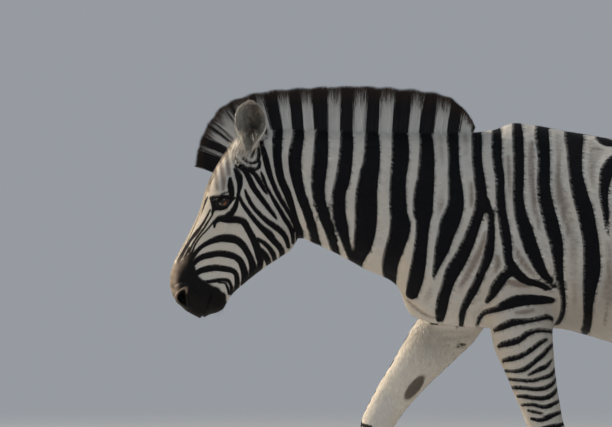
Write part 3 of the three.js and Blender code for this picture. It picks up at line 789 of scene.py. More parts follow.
def leg_line(name, t):
    """A place on a leg's line, in metres, and the direction straight ahead of it."""
    _, side, _, _, joints = LEGS[name]
    here = through(joints, t)[0] * MM
    down = unit(through(joints, t + 0.02)[0] - through(joints, t - 0.02)[0])
    return here * [1, side, 1], unit(np.array([down[2], 0, -down[0]]))


# ---------------------------------------------------------------- the stripes
# Dark stripes of the left side: X, Z and width in centimetres along each.
STRIPES = [
    # the neck
    [(-76, 138, 3), (-74.8, 133, 2.2), (-73.7, 129, 1.3), (-73, 126, 0.5)],
    [(-74.6, 125.3, 0.8), (-73.6, 121.5, 1.6), (-72.5, 117, 1.6), (-71.3, 113.5, 1.3),
     (-69.6, 109.7, 1.3), (-67.6, 106.3, 1.2), (-65.9, 103.4, 1.1), (-64.9, 101, 0.8), (-64.8, 99, 0.6)],
    [(-70.6, 140, 3), (-70.5, 131, 2.4), (-69.8, 128, 2.8), (-70, 124, 2.7), (-69.8, 119.5, 2.4),
     (-68.9, 114.7, 2.2), (-66.9, 110, 2.2), (-65.2, 105, 1.5), (-64, 101.5, 1.2), (-63.5, 99, 2),
     (-63.2, 95, 2.4)],
    [(-63.2, 140, 3.2), (-64, 131, 2.6), (-63.8, 127, 3.4), (-64.7, 122, 3.8), (-64.6, 117, 3.4),
     (-63.1, 110, 2.7), (-61.3, 105, 2.6), (-59.8, 100, 2.6), (-58.8, 96, 2.6), (-57.8, 92, 2.4)],
    [(-56.8, 140, 3.6), (-57, 131, 2.6), (-57, 127, 3.7), (-57.4, 120, 4.4), (-57.9, 115, 4.3),
     (-57.9, 110, 3.7), (-56.8, 105, 3.3), (-55, 100, 2.8), (-53.5, 95, 2.4), (-52.2, 90, 2)],
    [(-49.8, 140, 3.4), (-50, 131, 2.6), (-49.6, 126, 3.8), (-50, 120, 4.1), (-50.7, 115, 4.3),
     (-51.9, 110, 4), (-52, 105, 4), (-51, 100, 3.5), (-49.8, 95.5, 2.3), (-48.6, 92, 1.9),
     (-47.4, 89, 2.4)],
    [(-42.5, 140, 3.6), (-42.5, 131, 2.8), (-42.2, 126, 4.2), (-42.3, 120, 4.8), (-43.2, 115, 5.7),
     (-43.9, 110, 6.2), (-44, 105, 6.5), (-44.2, 100, 6.3), (-45, 95, 5.4), (-46.4, 90.5, 3.6),
     (-46.4, 87.5, 2.4)],
    [(-34.8, 140, 3.4), (-34.8, 131, 2.8), (-34, 126, 4.8), (-34, 120, 5), (-34.6, 115, 4.7),
     (-34.8, 110, 4.8), (-34.6, 105, 5), (-34.1, 100, 5.9), (-35.4, 95, 5.4), (-36.9, 90, 4.9),
     (-37, 86, 3.9), (-36.8, 82, 3.4)],
    [(-27, 141, 3.4), (-27.2, 131, 2.4), (-26.5, 127, 3.6), (-26.2, 122, 4.3), (-26.6, 115, 5),
     (-27.2, 110, 5.7), (-27.5, 105, 5.7), (-27.5, 101, 3.9), (-28.1, 95, 3.8), (-28.7, 90, 4.2),
     (-29.6, 85, 4.4), (-30.5, 81, 3.6)],
    [(-18.4, 140, 3.6), (-18.8, 131, 2.2), (-18.6, 127, 3.4), (-18.4, 120, 3.1), (-18.3, 115, 3.7),
     (-17.9, 110, 4.4), (-18.1, 106, 4.9), (-19.6, 102, 5.6), (-20.9, 98, 4.8), (-22, 94, 4.2),
     (-23.1, 90.5, 2.7), (-24, 87.5, 1.4), (-24.6, 85.3, 0.6)],
    [(-11.5, 130, 2.6), (-11.5, 126, 3), (-11.6, 120, 2.9), (-11.1, 115, 3.1), (-10.5, 110, 3.3),
     (-10.9, 106, 3.3), (-12.2, 102, 3.2), (-14, 97, 3.6), (-16.2, 92, 4), (-18.6, 88, 4.4),
     (-20.2, 84, 3.5), (-21.4, 80, 3.5), (-22.1, 76, 3.4), (-22.3, 73.5, 2.4)],
    [(-9, 108, 1.8), (-8.1, 104.5, 1.8), (-7.7, 100, 2), (-8, 96, 2.5), (-8.8, 91.5, 2.9),
     (-10.4, 87.5, 2.3), (-12.3, 83, 2.6), (-14.4, 79, 2.4), (-15.8, 75.5, 1.9), (-16, 72, 1.4),
     (-16, 70.5, 1)],
    # the shoulder and the forward barrel
    [(-5.7, 130, 2.2), (-5.7, 126, 2.9), (-5.8, 120, 2.8), (-5.1, 115, 2.7), (-5, 110, 2.6),
     (-4.7, 105, 2.7), (-3.8, 100, 2.8), (-3.1, 95, 2.8), (-2.9, 91.5, 2.5), (-1.6, 88.5, 3),
     (0.8, 86, 2.6), (3, 84.6, 2), (5.5, 84.1, 1.8), (7.5, 83.1, 1.5), (9.6, 82, 0.8)],
    [(-2, 88, 2.6), (-4.2, 86, 3), (-6.3, 83, 3.1), (-7.6, 80.5, 2.2), (-8.9, 78.6, 1)],
    [(0.4, 131.5, 2.2), (0.4, 127, 3.2), (0.5, 120, 3.1), (0.3, 113, 3.1), (0.2, 109, 3), (0.8, 104, 3.5),
     (2, 100, 4.1), (3.4, 95.5, 4.2), (5.2, 91, 3.7), (7, 87.5, 2.8), (9, 85, 1.8), (10.2, 83.3, 1.2)],
    [(7.9, 130.3, 3.4), (7.5, 127, 4.2), (7.9, 121, 3.5), (7.6, 112, 3.8), (8.5, 106, 4.1),
     (10, 100, 4.2), (11.1, 95.5, 3.8), (11.6, 90, 2.8), (12.2, 85, 2.2), (13.2, 80, 1.5),
     (13.3, 76, 1.3), (12.5, 73, 1.4), (10.9, 70.5, 1.1)],
    [(17.2, 129.2, 3.6), (16.9, 127, 5.6), (16.8, 122, 4.5), (16.9, 116, 4), (18, 110, 4.5),
     (19.4, 105, 4.8), (20.4, 100, 4.6), (21.1, 95, 4.6), (21.3, 88, 4.9), (20.7, 82, 3.7),
     (20.5, 77, 2.7), (20.5, 72, 2.5), (20, 69, 2.6)],
    [(20.3, 69, 2), (18, 68.6, 1.1), (15.9, 68.4, 0.5)],
    [(23.6, 126.4, 1), (25.5, 125.3, 2.2), (28.5, 124.6, 1.8)],
    [(30, 119.5, 5), (28, 118.6, 4.8), (26, 116.5, 4), (25.1, 113, 3), (24.8, 109, 2.5), (25.3, 105, 1.8),
     (25.6, 101, 1.2), (25.8, 98.5, 0.6)],
    # the chest and the inner foreleg
    [(-25.3, 71.8, 0.6), (-23.8, 71.4, 0.9), (-22, 71.2, 0.6)],
    [(-17, 65.3, 0.7), (-15.5, 65.2, 1.1), (-14, 65.2, 0.6)],
    # the cheek and the jaw
    [(-82.2, 117.2, 0.9), (-81.2, 115.5, 1.9), (-80.8, 113, 1.6), (-81.1, 110.8, 0.9),
     (-81.6, 108.5, 0.8), (-82, 106.6, 1.3), (-83, 104.8, 1.6), (-84.6, 103.4, 1.8)],
    [(-83.6, 114.6, 0.8), (-83.5, 112.5, 1.7), (-83.2, 110.5, 1.6), (-83.2, 109, 1.2)],
    [(-88.3, 100.3, 0.5), (-88, 101.8, 1), (-86.5, 102.8, 1.9), (-84, 102.6, 2.2), (-81.5, 102.5, 2),
     (-79.7, 101.8, 2), (-78.6, 100, 1.8), (-77.3, 97.6, 1.9), (-76.1, 95, 2.1), (-75.3, 92, 2),
     (-74.9, 89.5, 1.7), (-75.5, 86.7, 1.6)],
    [(-75.6, 96.8, 0.9), (-74, 95.8, 1.2), (-72.4, 94.3, 1.3), (-71.2, 92.5, 1.4), (-70.5, 90.3, 1.3)],
    [(-75, 94, 1), (-73.6, 92.3, 1.6), (-72.7, 90.5, 1.7), (-72.2, 88.6, 1.4)],
    [(-96, 89.6, 1.1), (-94.9, 91, 1), (-93.8, 92.7, 1.1), (-92.3, 94.3, 1.1), (-90.5, 95.5, 1.3),
     (-88.5, 96.4, 1.7), (-86.3, 97, 2.1), (-84, 97, 2.4), (-81.9, 96.5, 2.3), (-80.2, 95.2, 2),
     (-78.9, 93.3, 1.8), (-77.7, 90.9, 1.8), (-77.1, 88.3, 2), (-77.5, 85.2, 1.7)],
    [(-95.4, 88.6, 1.3), (-94.2, 89.8, 1.3), (-93.1, 90.8, 1.4), (-91.8, 91.5, 1.6), (-89.6, 92.1, 1.8),
     (-87, 92.5, 1.8), (-84.4, 92.2, 1.9), (-82.2, 91.5, 1.8), (-80.7, 90.2, 1.8), (-79.8, 88, 1.9),
     (-79.4, 85.6, 2), (-79.8, 83.4, 1.6)],
    [(-94.8, 85.9, 1.4), (-93.6, 86.7, 1.5), (-92.2, 87.5, 1.6), (-90.4, 88, 1.8), (-88, 88.3, 1.8),
     (-85.5, 88, 1.7), (-83.3, 87.6, 1.5), (-82.1, 86.6, 1.3), (-81.7, 84.6, 1.4), (-81.8, 82.6, 1.4),
     (-82.2, 81.4, 1)],
    [(-94, 84, 1.1), (-92.4, 84.2, 0.9), (-90.5, 84.2, 0.8), (-88, 84.5, 1.1), (-86, 84.8, 0.9),
     (-84.4, 84.6, 0.9), (-83.6, 83.4, 0.8), (-83.3, 81.8, 1), (-83.4, 80.5, 0.9)],
    [(-87.2, 83.9, 0.3), (-85.3, 83.8, 0.5), (-84.5, 82.3, 0.6), (-84.1, 80.6, 0.6)],
    # the side of the head behind the eye
    [(-82, 118.3, 0.8), (-80.5, 117.7, 1.1), (-79.3, 116.8, 1.4), (-78.2, 114.8, 1.6), (-76.9, 112, 1.6),
     (-75, 109.3, 1.5), (-72.9, 106.5, 1.3), (-71, 104, 1), (-70.2, 102.8, 0.5)],
    [(-82, 120.6, 0.7), (-80.6, 118.8, 0.8), (-78.4, 117.3, 0.9), (-76.6, 115.9, 1.2),
     (-75.1, 113.7, 1.3), (-73.9, 111.5, 1), (-72.9, 110, 0.4)],
    [(-74.7, 116.5, 0.4), (-74, 114.7, 0.8), (-73.1, 112.4, 0.7), (-71.9, 110, 0.8), (-70.5, 107.5, 1.1),
     (-69, 105, 1.2), (-67.6, 102.6, 1.3), (-66.2, 100.4, 1.3), (-65.4, 98, 1.1), (-65.3, 95.6, 0.8)],
    [(-79.3, 111.2, 0.4), (-78.5, 109, 1), (-77.1, 106.5, 1.1), (-75.1, 104.2, 1.2), (-72.9, 102.1, 1.4),
     (-70.6, 100.5, 1.7), (-68.6, 98.8, 1.6), (-67.3, 96.9, 1.4), (-66.6, 94.4, 1)],
    [(-81, 109.5, 0.6), (-80, 107.2, 1), (-78.2, 104.6, 1.2), (-76.3, 102.2, 1.3), (-74.3, 100, 1.6),
     (-72.4, 98.3, 2.2), (-70.9, 96.3, 1.8), (-69.4, 94.6, 1.7), (-68.5, 93, 1.6), (-68.6, 91.2, 1.3)],
    # below the ear
    [(-79.7, 120.4, 0.8), (-78.4, 119.3, 0.7), (-76.8, 119.1, 0.7), (-75.6, 120, 0.9), (-75.2, 122, 0.9),
     (-75.4, 123.8, 0.4)],
    [(-78, 118, 0.4), (-76.2, 117.3, 0.8), (-75.3, 118, 0.9), (-75, 119.5, 0.7)],
    [(-77.4, 120.9, 0.7), (-76.9, 122, 0.5), (-76.2, 123.4, 0.3)],
    # the side of the nose
    [(-89.5, 105.3, 0.3), (-91, 102.4, 0.45), (-92.4, 100.2, 0.6), (-93.5, 98.8, 0.9), (-95.2, 96.6, 0.7),
     (-96.2, 95, 0.7), (-97.3, 93.2, 0.8), (-98.3, 91.4, 1), (-99.2, 89.4, 1.2), (-100, 87.6, 0.6)],
    [(-95.8, 94.2, 0.3), (-96.6, 92.2, 0.5), (-97.4, 90.4, 0.9)],
    [(-88.8, 104, 0.3), (-90.2, 101.8, 0.4), (-91.4, 99.9, 0.4), (-93.3, 97.4, 0.4), (-94.8, 95, 0.4),
     (-95.8, 92.8, 0.5)],
    [(-91.3, 110, 0.3), (-92.4, 107, 0.35), (-93.8, 103.2, 0.35), (-95.7, 99.6, 0.35),
     (-97.5, 96.5, 0.35), (-99.4, 92.6, 0.35), (-100.3, 90.8, 0.3)],
    [(-90.4, 109, 0.4), (-91.5, 106.2, 0.4), (-92.9, 103.2, 0.4), (-94.4, 100.2, 0.45),
     (-96.4, 96.8, 0.6), (-98, 93.8, 0.5), (-99.2, 91.4, 0.6), (-99.7, 89.8, 0.5)],
    [(-88.4, 102.2, 0.3), (-89.6, 100.5, 0.35), (-91.2, 98.7, 0.3), (-92.4, 97.4, 0.3), (-94, 95, 0.35),
     (-94.9, 92.8, 0.6), (-95.9, 91.4, 1.2)],
    # round the eye: dark lid skin, with painted shade from the brow and lashes above and at the front corner
    [(-89.3, 108.7, 0.7), (-88.7, 107.2, 1.1), (-88.5, 105.8, 1), (-88.9, 104.3, 0.5)],
    [(-89.2, 108.9, 0.8), (-87.4, 109.2, 0.9), (-85.6, 108.9, 0.9), (-83.6, 108.9, 1)],
    [(-86.3, 109.8, 0.3), (-85.3, 110.3, 0.35), (-84, 110.5, 0.35), (-82.9, 109.9, 0.4)],
    [(-88.6, 105.5, 0.8), (-87.5, 105.8, 1.2), (-86, 105.9, 1.2), (-84.8, 106.2, 0.9), (-84, 106.9, 0.4)],
    [(-88.7, 107.7, 1.3), (-87.4, 107.6, 1.5), (-86.6, 107, 1.3)],
    # the barrel, the loin and the rump
    [(34.6, 128, 3.6), (32.4, 123.4, 4.4), (30, 119.5, 5), (27.4, 118, 4.6)],
    [(41, 129, 4.4), (40, 120, 4.6), (38.6, 110, 4.6), (37.2, 100, 4.2), (36, 90, 3.6), (35.2, 80, 3),
     (35, 70, 2.2), (35.4, 64, 1.2)],
    [(50.5, 128, 4.6), (49.5, 118, 4.8), (48, 108, 4.6), (46.6, 98, 4.2), (45.6, 88, 3.8),
     (45.2, 78, 3.2), (45.6, 68, 2.4), (46.2, 62, 1.4)],
    [(60.5, 129, 4.4), (59.5, 120, 4.6), (58, 110, 4.6), (56.6, 100, 4.4), (55.8, 90, 4), (55.8, 80, 3.4),
     (56.6, 72, 2.6), (57.6, 66, 1.6)],
    [(68, 130, 3.4), (66.6, 122, 3.6), (65, 114, 3.2), (64, 107, 2.2), (63.6, 101, 1)],
    [(76, 129.5, 3), (75, 123, 3.2), (73, 117, 2.4), (71.4, 112.6, 1)],
    [(84, 127.5, 2.4), (82.4, 122, 2), (80.6, 118.6, 0.8)],
    [(63.6, 74, 1.6), (63.8, 82, 3.2), (65, 90, 4.4), (68, 98, 5), (73, 106, 5.2), (79.5, 113, 5),
     (86, 118.5, 4.4), (91, 122, 3.6)],
    [(69.6, 72, 2), (70.8, 78, 3.4), (73.4, 85, 4.6), (78, 92, 5.2), (84, 98.5, 5.2), (90.5, 103.5, 4.6),
     (96, 107, 3.6), (99, 108.5, 2.6)],
    [(74.5, 74, 2), (77, 79, 3.4), (81, 84.5, 4.2), (86.5, 90, 4.4), (92, 94, 3.8), (98, 96.4, 2.8)],
    [(77.5, 69, 1.8), (80.6, 73, 3), (85, 77.6, 3.6), (90, 81.6, 3.4), (95.5, 84.4, 2.4)],
]
# Bands of the left foreleg, from the elbow down to the knee.
FORELEG_STRIPES = [
    [(-11.4, 71.6, 0.8), (-10.6, 74, 1), (-8.9, 75.6, 1.2), (-6, 76.6, 1.6), (-3, 78, 2.8), (0, 79, 3.1),
     (4, 79.3, 2.7), (8, 79.2, 2.1), (10, 79, 1.4)],
    [(-6.4, 70.5, 0.9), (-4.9, 71.2, 1.5), (-2.2, 72.5, 1.9), (0.8, 73, 1.5), (3.6, 73.3, 1),
     (6.6, 73.9, 1.2), (8.8, 74.3, 1.2), (10.2, 73.6, 0.7)],
    [(-5.3, 65.7, 0.8), (-3.7, 66.4, 1.5), (-1.3, 67, 1.7), (0.8, 67.9, 1.5), (2.5, 69.3, 1.4),
     (4.3, 70.1, 1.2), (6.7, 70.5, 1), (9, 70.2, 0.8), (10.6, 69.9, 0.5)],
    [(-3.9, 61.5, 0.8), (-2.3, 62, 1.2), (-0.2, 62.5, 1.3), (1.9, 63.4, 1.1), (3.9, 64.7, 1.1),
     (6, 66.4, 1.1), (7.5, 67.3, 0.9), (8.7, 67.8, 0.4)],
    [(-3.3, 58.4, 0.7), (-1.4, 58.4, 0.6), (0.7, 58.6, 0.9), (2.8, 59.5, 1.1), (4.8, 61.1, 1),
     (7.2, 63.1, 1.1), (9, 64.9, 0.9), (10.6, 66.4, 0.5)],
    [(3.2, 57.4, 0.3), (4.8, 58.2, 0.7), (6.6, 59.1, 1.1), (8.4, 59.9, 0.9), (10.1, 61.7, 0.3)],
    [(-2.3, 56, 0.5), (-0.5, 55.9, 0.6), (1.9, 55.7, 0.7), (4.3, 55.7, 0.8), (6.6, 56.3, 0.8),
     (8.9, 56.9, 0.9), (10.4, 57.8, 0.8), (11.4, 59.4, 0.4)],
    [(-1.2, 53.5, 0.6), (0.7, 53.6, 0.9), (3.1, 53.4, 0.8), (6, 53.2, 0.9), (8.6, 53.7, 1),
     (10.4, 54.8, 0.8), (11.7, 56.4, 0.4)],
    [(0.3, 51, 0.5), (2.5, 51, 1), (4.8, 50.6, 0.9), (7.3, 50.5, 1), (9.3, 51, 1.1), (10.8, 52, 0.9),
     (12.3, 53.8, 0.4)],
    [(1.5, 48.4, 0.4), (3.4, 48.6, 0.6), (5.4, 48.5, 0.7), (7.4, 48, 0.8), (9, 48.1, 0.9),
     (10.8, 48.9, 0.8), (12.9, 49.8, 0.4)],
    [(3.3, 46.9, 0.3), (5.1, 46.5, 0.6), (7.4, 46, 0.3)],
    [(4.2, 44.5, 0.4), (6.3, 44.1, 0.8), (7.8, 44.3, 1), (9.2, 45, 1.3), (11, 45.7, 0.9),
     (13.6, 46.5, 0.7)],
    [(6.5, 41.3, 0.8), (8.4, 41.7, 1.2), (10.4, 42.2, 1.2), (12.5, 42.5, 0.9), (14.5, 43.2, 0.5)],
]
# Faint brown stripes within the pale ones.
SHADOWS = [
    [(-33, 80, 0.5), (-29.5, 76.6, 0.8), (-26.5, 74.6, 0.8), (-24, 73.6, 0.4)],
    [(-89.3, 118, 0.7), (-89.4, 115.5, 1), (-89.7, 113, 0.9), (-90, 110.6, 0.6)],
    [(-88.4, 118.4, 0.7), (-88, 116, 1.2), (-87.6, 113.6, 1.2), (-87.3, 111.4, 0.8)],
    [(-86.7, 120.2, 0.8), (-86.1, 117.6, 1.4), (-85.7, 115.4, 1.5), (-85.5, 113.2, 1.3),
     (-85.6, 111.2, 0.8)],
    [(-84.9, 123.2, 1), (-84.5, 120.6, 1.2), (-84.2, 118, 1.3), (-83.9, 115.8, 1)],
    [(-83, 123.6, 0.8), (-82.6, 121.4, 0.8), (-82.4, 119, 0.5)],
    [(4.2, 125, 1.4), (4, 116, 1.6), (4.6, 108, 1.4), (6, 100, 0.8)],
    [(12.2, 121, 1), (11.6, 113, 1.6), (13, 105, 1.6), (14.6, 98, 1)],
    [(-2.6, 121, 0.8), (-2.4, 114, 1), (-2, 108, 0.6)],
    [(-0.9, 94.5, 0.8), (0.3, 91.8, 1.5), (2.4, 88.8, 1.6), (4.8, 86.4, 1)],
    [(-9.4, 99.1, 0.8), (-10.8, 94.3, 1.6), (-12.5, 90.7, 2), (-14.3, 87.1, 1.8), (-16.7, 83.2, 1)],
    [(-6.2, 92.2, 0.8), (-5.9, 89.8, 1.7), (-6.8, 87.7, 0.9)],
    [(-13.4, 113.2, 0.8), (-13.4, 108.7, 1.3), (-13.6, 106.6, 0.7)],
    [(-3.4, 84.6, 1.2), (0, 84, 2.2), (3, 83.6, 1.2)],
    [(-0.5, 75.6, 0.9), (2, 75.8, 1.3), (4.6, 76.4, 0.9)],
    [(22, 123.4, 0.8), (24.4, 123, 1)],
    [(25.8, 96, 0.6), (25.9, 84, 0.9), (25.5, 72, 0.6)],
    [(44.4, 122, 1), (43.2, 108, 1.6), (41.6, 92, 1.4), (40.6, 80, 0.6)],
    [(54.4, 122, 1), (53, 108, 1.6), (51.4, 92, 1.4), (50.8, 80, 0.6)],
    [(62, 120, 0.8), (60.8, 108, 1.6), (60, 96, 1.6), (60, 84, 0.8)],
    [(67.6, 88, 0.8), (71.4, 96, 1.6), (77, 103.4, 1.6), (84.6, 109.6, 1)],
    [(74, 80, 0.6), (78.4, 87, 1.6), (84, 93.4, 1.6), (92, 99, 1)],
]
# Of each leg: where its own bands start and end by joint number, their spacing above and below,
# how they slope forwards, and how much they fade on the inner side above and below the knee.
LEG_BANDS = {
    "foreleg_left": (2.03, 3.72, 3.1, 2.6, -0.10, 3.0, 0.35),
    "foreleg_right": (1.02, 3.72, 3.4, 2.6, 0.16, 3.0, 0.40),
    "hindleg_left": (2.02, 4.72, 3.7, 2.6, 0.30, 0.9, 0.30),
    "hindleg_right": (1.98, 4.72, 3.7, 2.6, 0.30, 0.9, 0.30),
}
# Where the dark muzzle starts, u by v in centimetres.
MUZZLE_EDGE = [(-16, 43.5), (-13.3, 41.6), (-11.6, 39.8), (-8.3, 39.2), (-4.7, 39.7), (-1.4, 38.2),
               (.9, 35.8), (2.8, 35.4), (4.4, 38.4), (7.1, 40)]
CHESTNUT = (1.55, 4.9, 1.8)  # joint number, half its length and width in centimetres
NO_MARK = -2.5  # depth in a stripe, in centimetres, of a place well outside it
STRIPE_FRAY = 0.12  # how far the dark hairs reach past a stripe's line, in centimetres


def within(flat, stroke, spare=2.5):
    """How many centimetres deep places seen from the side lie in a stripe, negative outside."""
    path = path_of(stroke, 5)
    deep = np.full(len(flat), -spare)
    reach = spare + path[:, 2].max() / 2
    low, high = path[:, :2].min(0) - reach, path[:, :2].max(0) + reach
    k = np.flatnonzero(((flat > low) & (flat < high)).all(1))
    far, at = off_path(flat[k], path[:, :2])
    deep[k] = np.maximum(-spare, np.interp(at, np.arange(len(path)), path[:, 2]) / 2 - far)
    return deep


def deepest(flat, strokes, spare=2.5):
    """How deep places seen from the side lie in the nearest of some stripes."""
    deep = np.full(len(flat), -spare)
    for stroke in strokes:
        deep = np.maximum(deep, within(flat, stroke, spare))
    return deep


def leg_places(name, points, joints_of):
    """Places in a leg's own terms: joint number, centimetres down the leg, centimetres forwards
    of its line, and distance from the line in metres; and how far down some joint numbers are."""
    _, side, _, _, joints = LEGS[name]
    t = np.linspace(0, len(joints) - 1 + 0.15, 220)
    line = through(joints, t) * MM * [1, side, 1]
    down = unit(np.gradient(line, axis=0))
    length = np.concatenate([[0], np.cumsum(np.linalg.norm(np.diff(line, axis=0), axis=1))]) / CM
    k = np.concatenate([np.argmin(((part[:, None] - line) ** 2).sum(-1), 1)
                        for part in np.array_split(points, max(1, len(points) // 20000))])
    away = points - line[k]
    forwards = dot(away, np.stack([down[k, 2], 0 * k, -down[k, 0]], 1)) / CM
    far = np.linalg.norm(away, axis=1)
    return t[k], length[k] + dot(away, down[k]) / CM, forwards, far, np.interp(joints_of, t, length)


def leg_of(points):
    """The name of each place's leg and how much it belongs to the leg, not to the trunk."""
    names = np.where(points[:, 0] < 0.45, "foreleg", "hindleg")
    sides = np.where(points[:, 1] < 0, "left", "right")
    part = np.where(points[:, 0] < 0.45, ease(0.80, 0.68, points[:, 2]), ease(0.84, 0.66, points[:, 2]))
    return names, sides, part * (points[:, 0] < 0.985 + 0.1 * (points[:, 2] < 0.6))


def body_stripes(points, outward, flat, medial, on_face):
    """Depth in the dark stripes of head, neck and body and in the lines of belly and back."""
    dark = deepest(flat, STRIPES) + STRIPE_FRAY
    bands = deepest(flat, FORELEG_STRIPES) + 2 * STRIPE_FRAY - 3 * medial
    near_foreleg = (points[:, 1] < 0) & (points[:, 0] > -0.14)
    dark = np.maximum(dark, np.where(near_foreleg, bands, NO_MARK))
    underneath = ease(-0.93, -1.0, outward[:, 2]) * ease(-0.1, 0.0, points[:, 0])
    dark += np.where(on_face, 0, -3 * underneath)
    thigh = ease(1.08, 0.97, points[:, 2]) * ease(0.42, 0.6, points[:, 0])
    dark -= 5 * ease(0.1, 0.9, medial * thigh)
    midline = np.abs(points[:, 1]) / CM
    belly = 1.5 - midline + 0.3 * waves(flat, 9, 21)
    spine = 1.3 - midline + 0.25 * waves(flat, 11, 22)
    below = (outward[:, 2] < -0.5) & (points[:, 0] > -0.12) & (points[:, 0] < 0.62)
    above = (outward[:, 2] > 0.4) | (points[:, 0] > 0.94)
    above = above & (points[:, 0] > 0.06) & (points[:, 2] > 1.08)
    return np.maximum.reduce([dark, np.where(below, belly, NO_MARK), np.where(above, spine, NO_MARK)])


def leg_bands(points, medial, dark):
    """Draws each leg's bands and its dark foot into dark, and gives the share of chestnut."""
    chestnut = np.zeros(len(points))
    names, sides, _ = leg_of(points)
    for name, (start, end, gap_above, gap_below, slope, inner_above, inner_below) in LEG_BANDS.items():
        kind, side = name.split("_")
        k = np.flatnonzero((names == kind) & (sides == side) & (points[:, 2] < 0.86))
        if not len(k):
            continue
        t, down, ahead, far, (first, final, spot) = leg_places(name, points[k], (start, end, CHESTNUT[0]))
        own = np.random.default_rng(len(name) + 7 * (side == "left"))
        gap = np.linspace(gap_above, gap_below, 40) * own.uniform(0.88, 1.12, 40)
        middle = first + np.cumsum(gap) - gap[0]
        middle, gap = middle[middle < final], gap[middle < final]
        width = gap * own.uniform(0.40, 0.52, len(gap))
        tilt = slope + own.normal(0, 0.06, len(gap))
        bow = own.normal(0, 0.02, len(gap))
        place = down[:, None] - middle - tilt * ahead[:, None] - bow * ahead[:, None] ** 2
        place = place + 0.25 * waves(points[k] / CM, 7, 31)[:, None]
        knee = 2.0 if kind == "foreleg" else 3.0
        bands = (width / 2 - np.abs(place)).max(1) - np.where(t < knee, inner_above, inner_below) * medial[k]
        foot = np.clip((down - final) / 1.2 - 0.6, NO_MARK, 1)
        bands = np.where(far < 0.17, np.maximum(bands, foot), NO_MARK)
        if name != "foreleg_left":
            dark[k] -= 2 * ease(start + 0.05, start + 0.2, t)
        dark[k] = np.maximum(dark[k], bands - 4 * ease(first - 1.4, first - 2.4, down - slope * ahead))
        if kind == "foreleg":
            _, long, wide = CHESTNUT
            oval = np.hypot((down - spot) / long, (ahead + 2.6) / wide)
            chestnut[k] = np.maximum(chestnut[k], ease(1.1, 0.8, oval) * (medial[k] > 0.25))
    return chestnut


def dock_rings(points, outward, flat):
    """Where the tail's dock is, and depth in its rings, its back line and its black tip."""
    line = path_of(np.insert(np.array(DOCK_LINE) * MM, 1, 0, axis=1))
    away, at = off_path(points, line)
    dock = (away < 0.034) & (at > 15) & (points[:, 0] > 0.95)
    rings = 0.62 - np.abs((points[:, 2] / CM + 0.3 * waves(flat, 6, 41)) % 2.9 - 1.45)
    behind = np.where(outward[:, 0] > 0.1, 0.75 - np.abs(points[:, 1]) / CM, NO_MARK)
    return dock, np.where(points[:, 2] < 0.95, 1.0, np.maximum(rings, behind))


# Spacing of the lines down the front of the face, by u, in millimetres.
FACE_GAPS = ([0, 60, 110, 165, 220, 300, 400], [11, 13.5, 16, 15, 12, 9.5, 8])


def ear_marks(points, outward, flat, dark, faint, bare):
    """The ears' dark band and tip, and their bare and thinly haired insides, darkened by painted shade deep
    in the hollow.
    """
    for side in (-1, 1):
        root, up, wide, out = ear_frame(side)
        away = points - root
        t = away @ up / (EAR_LENGTH * MM)
        ear = (points[:, 2] > 1.262) & (points[:, 1] * side > 0.043) & (points[:, 0] < -0.70)
        inner = ease(-0.1, 0.3, outward @ out)
        across = np.abs(away @ wide) / (track(EAR, t)[:, 0] * MM)
        band = np.minimum(t - 0.50, 0.80 - t) * 14 + 0.3 * waves(flat, 3, 64)
        band = np.maximum(band, np.minimum(t - 0.16, 0.27 - t) * 14)
        dark = np.where(ear, band - 4 * inner, dark)
        # Inside: brownish hair and dark bare skin, partly real, partly painted shade that deepens towards
        # the root and the middle of the hollow.
        faint = np.where(ear, 0.75 * inner - 0.5 - 1.2 * ease(0.5, 0.75, across), faint)
        deep = (0.22 + 0.7 * ease(0.6, 0.3, t)) * ease(0.66, 0.42, across) * ease(0.93, 0.75, t)
        bare = np.where(ear, inner * deep, bare)
    return dark, faint, bare


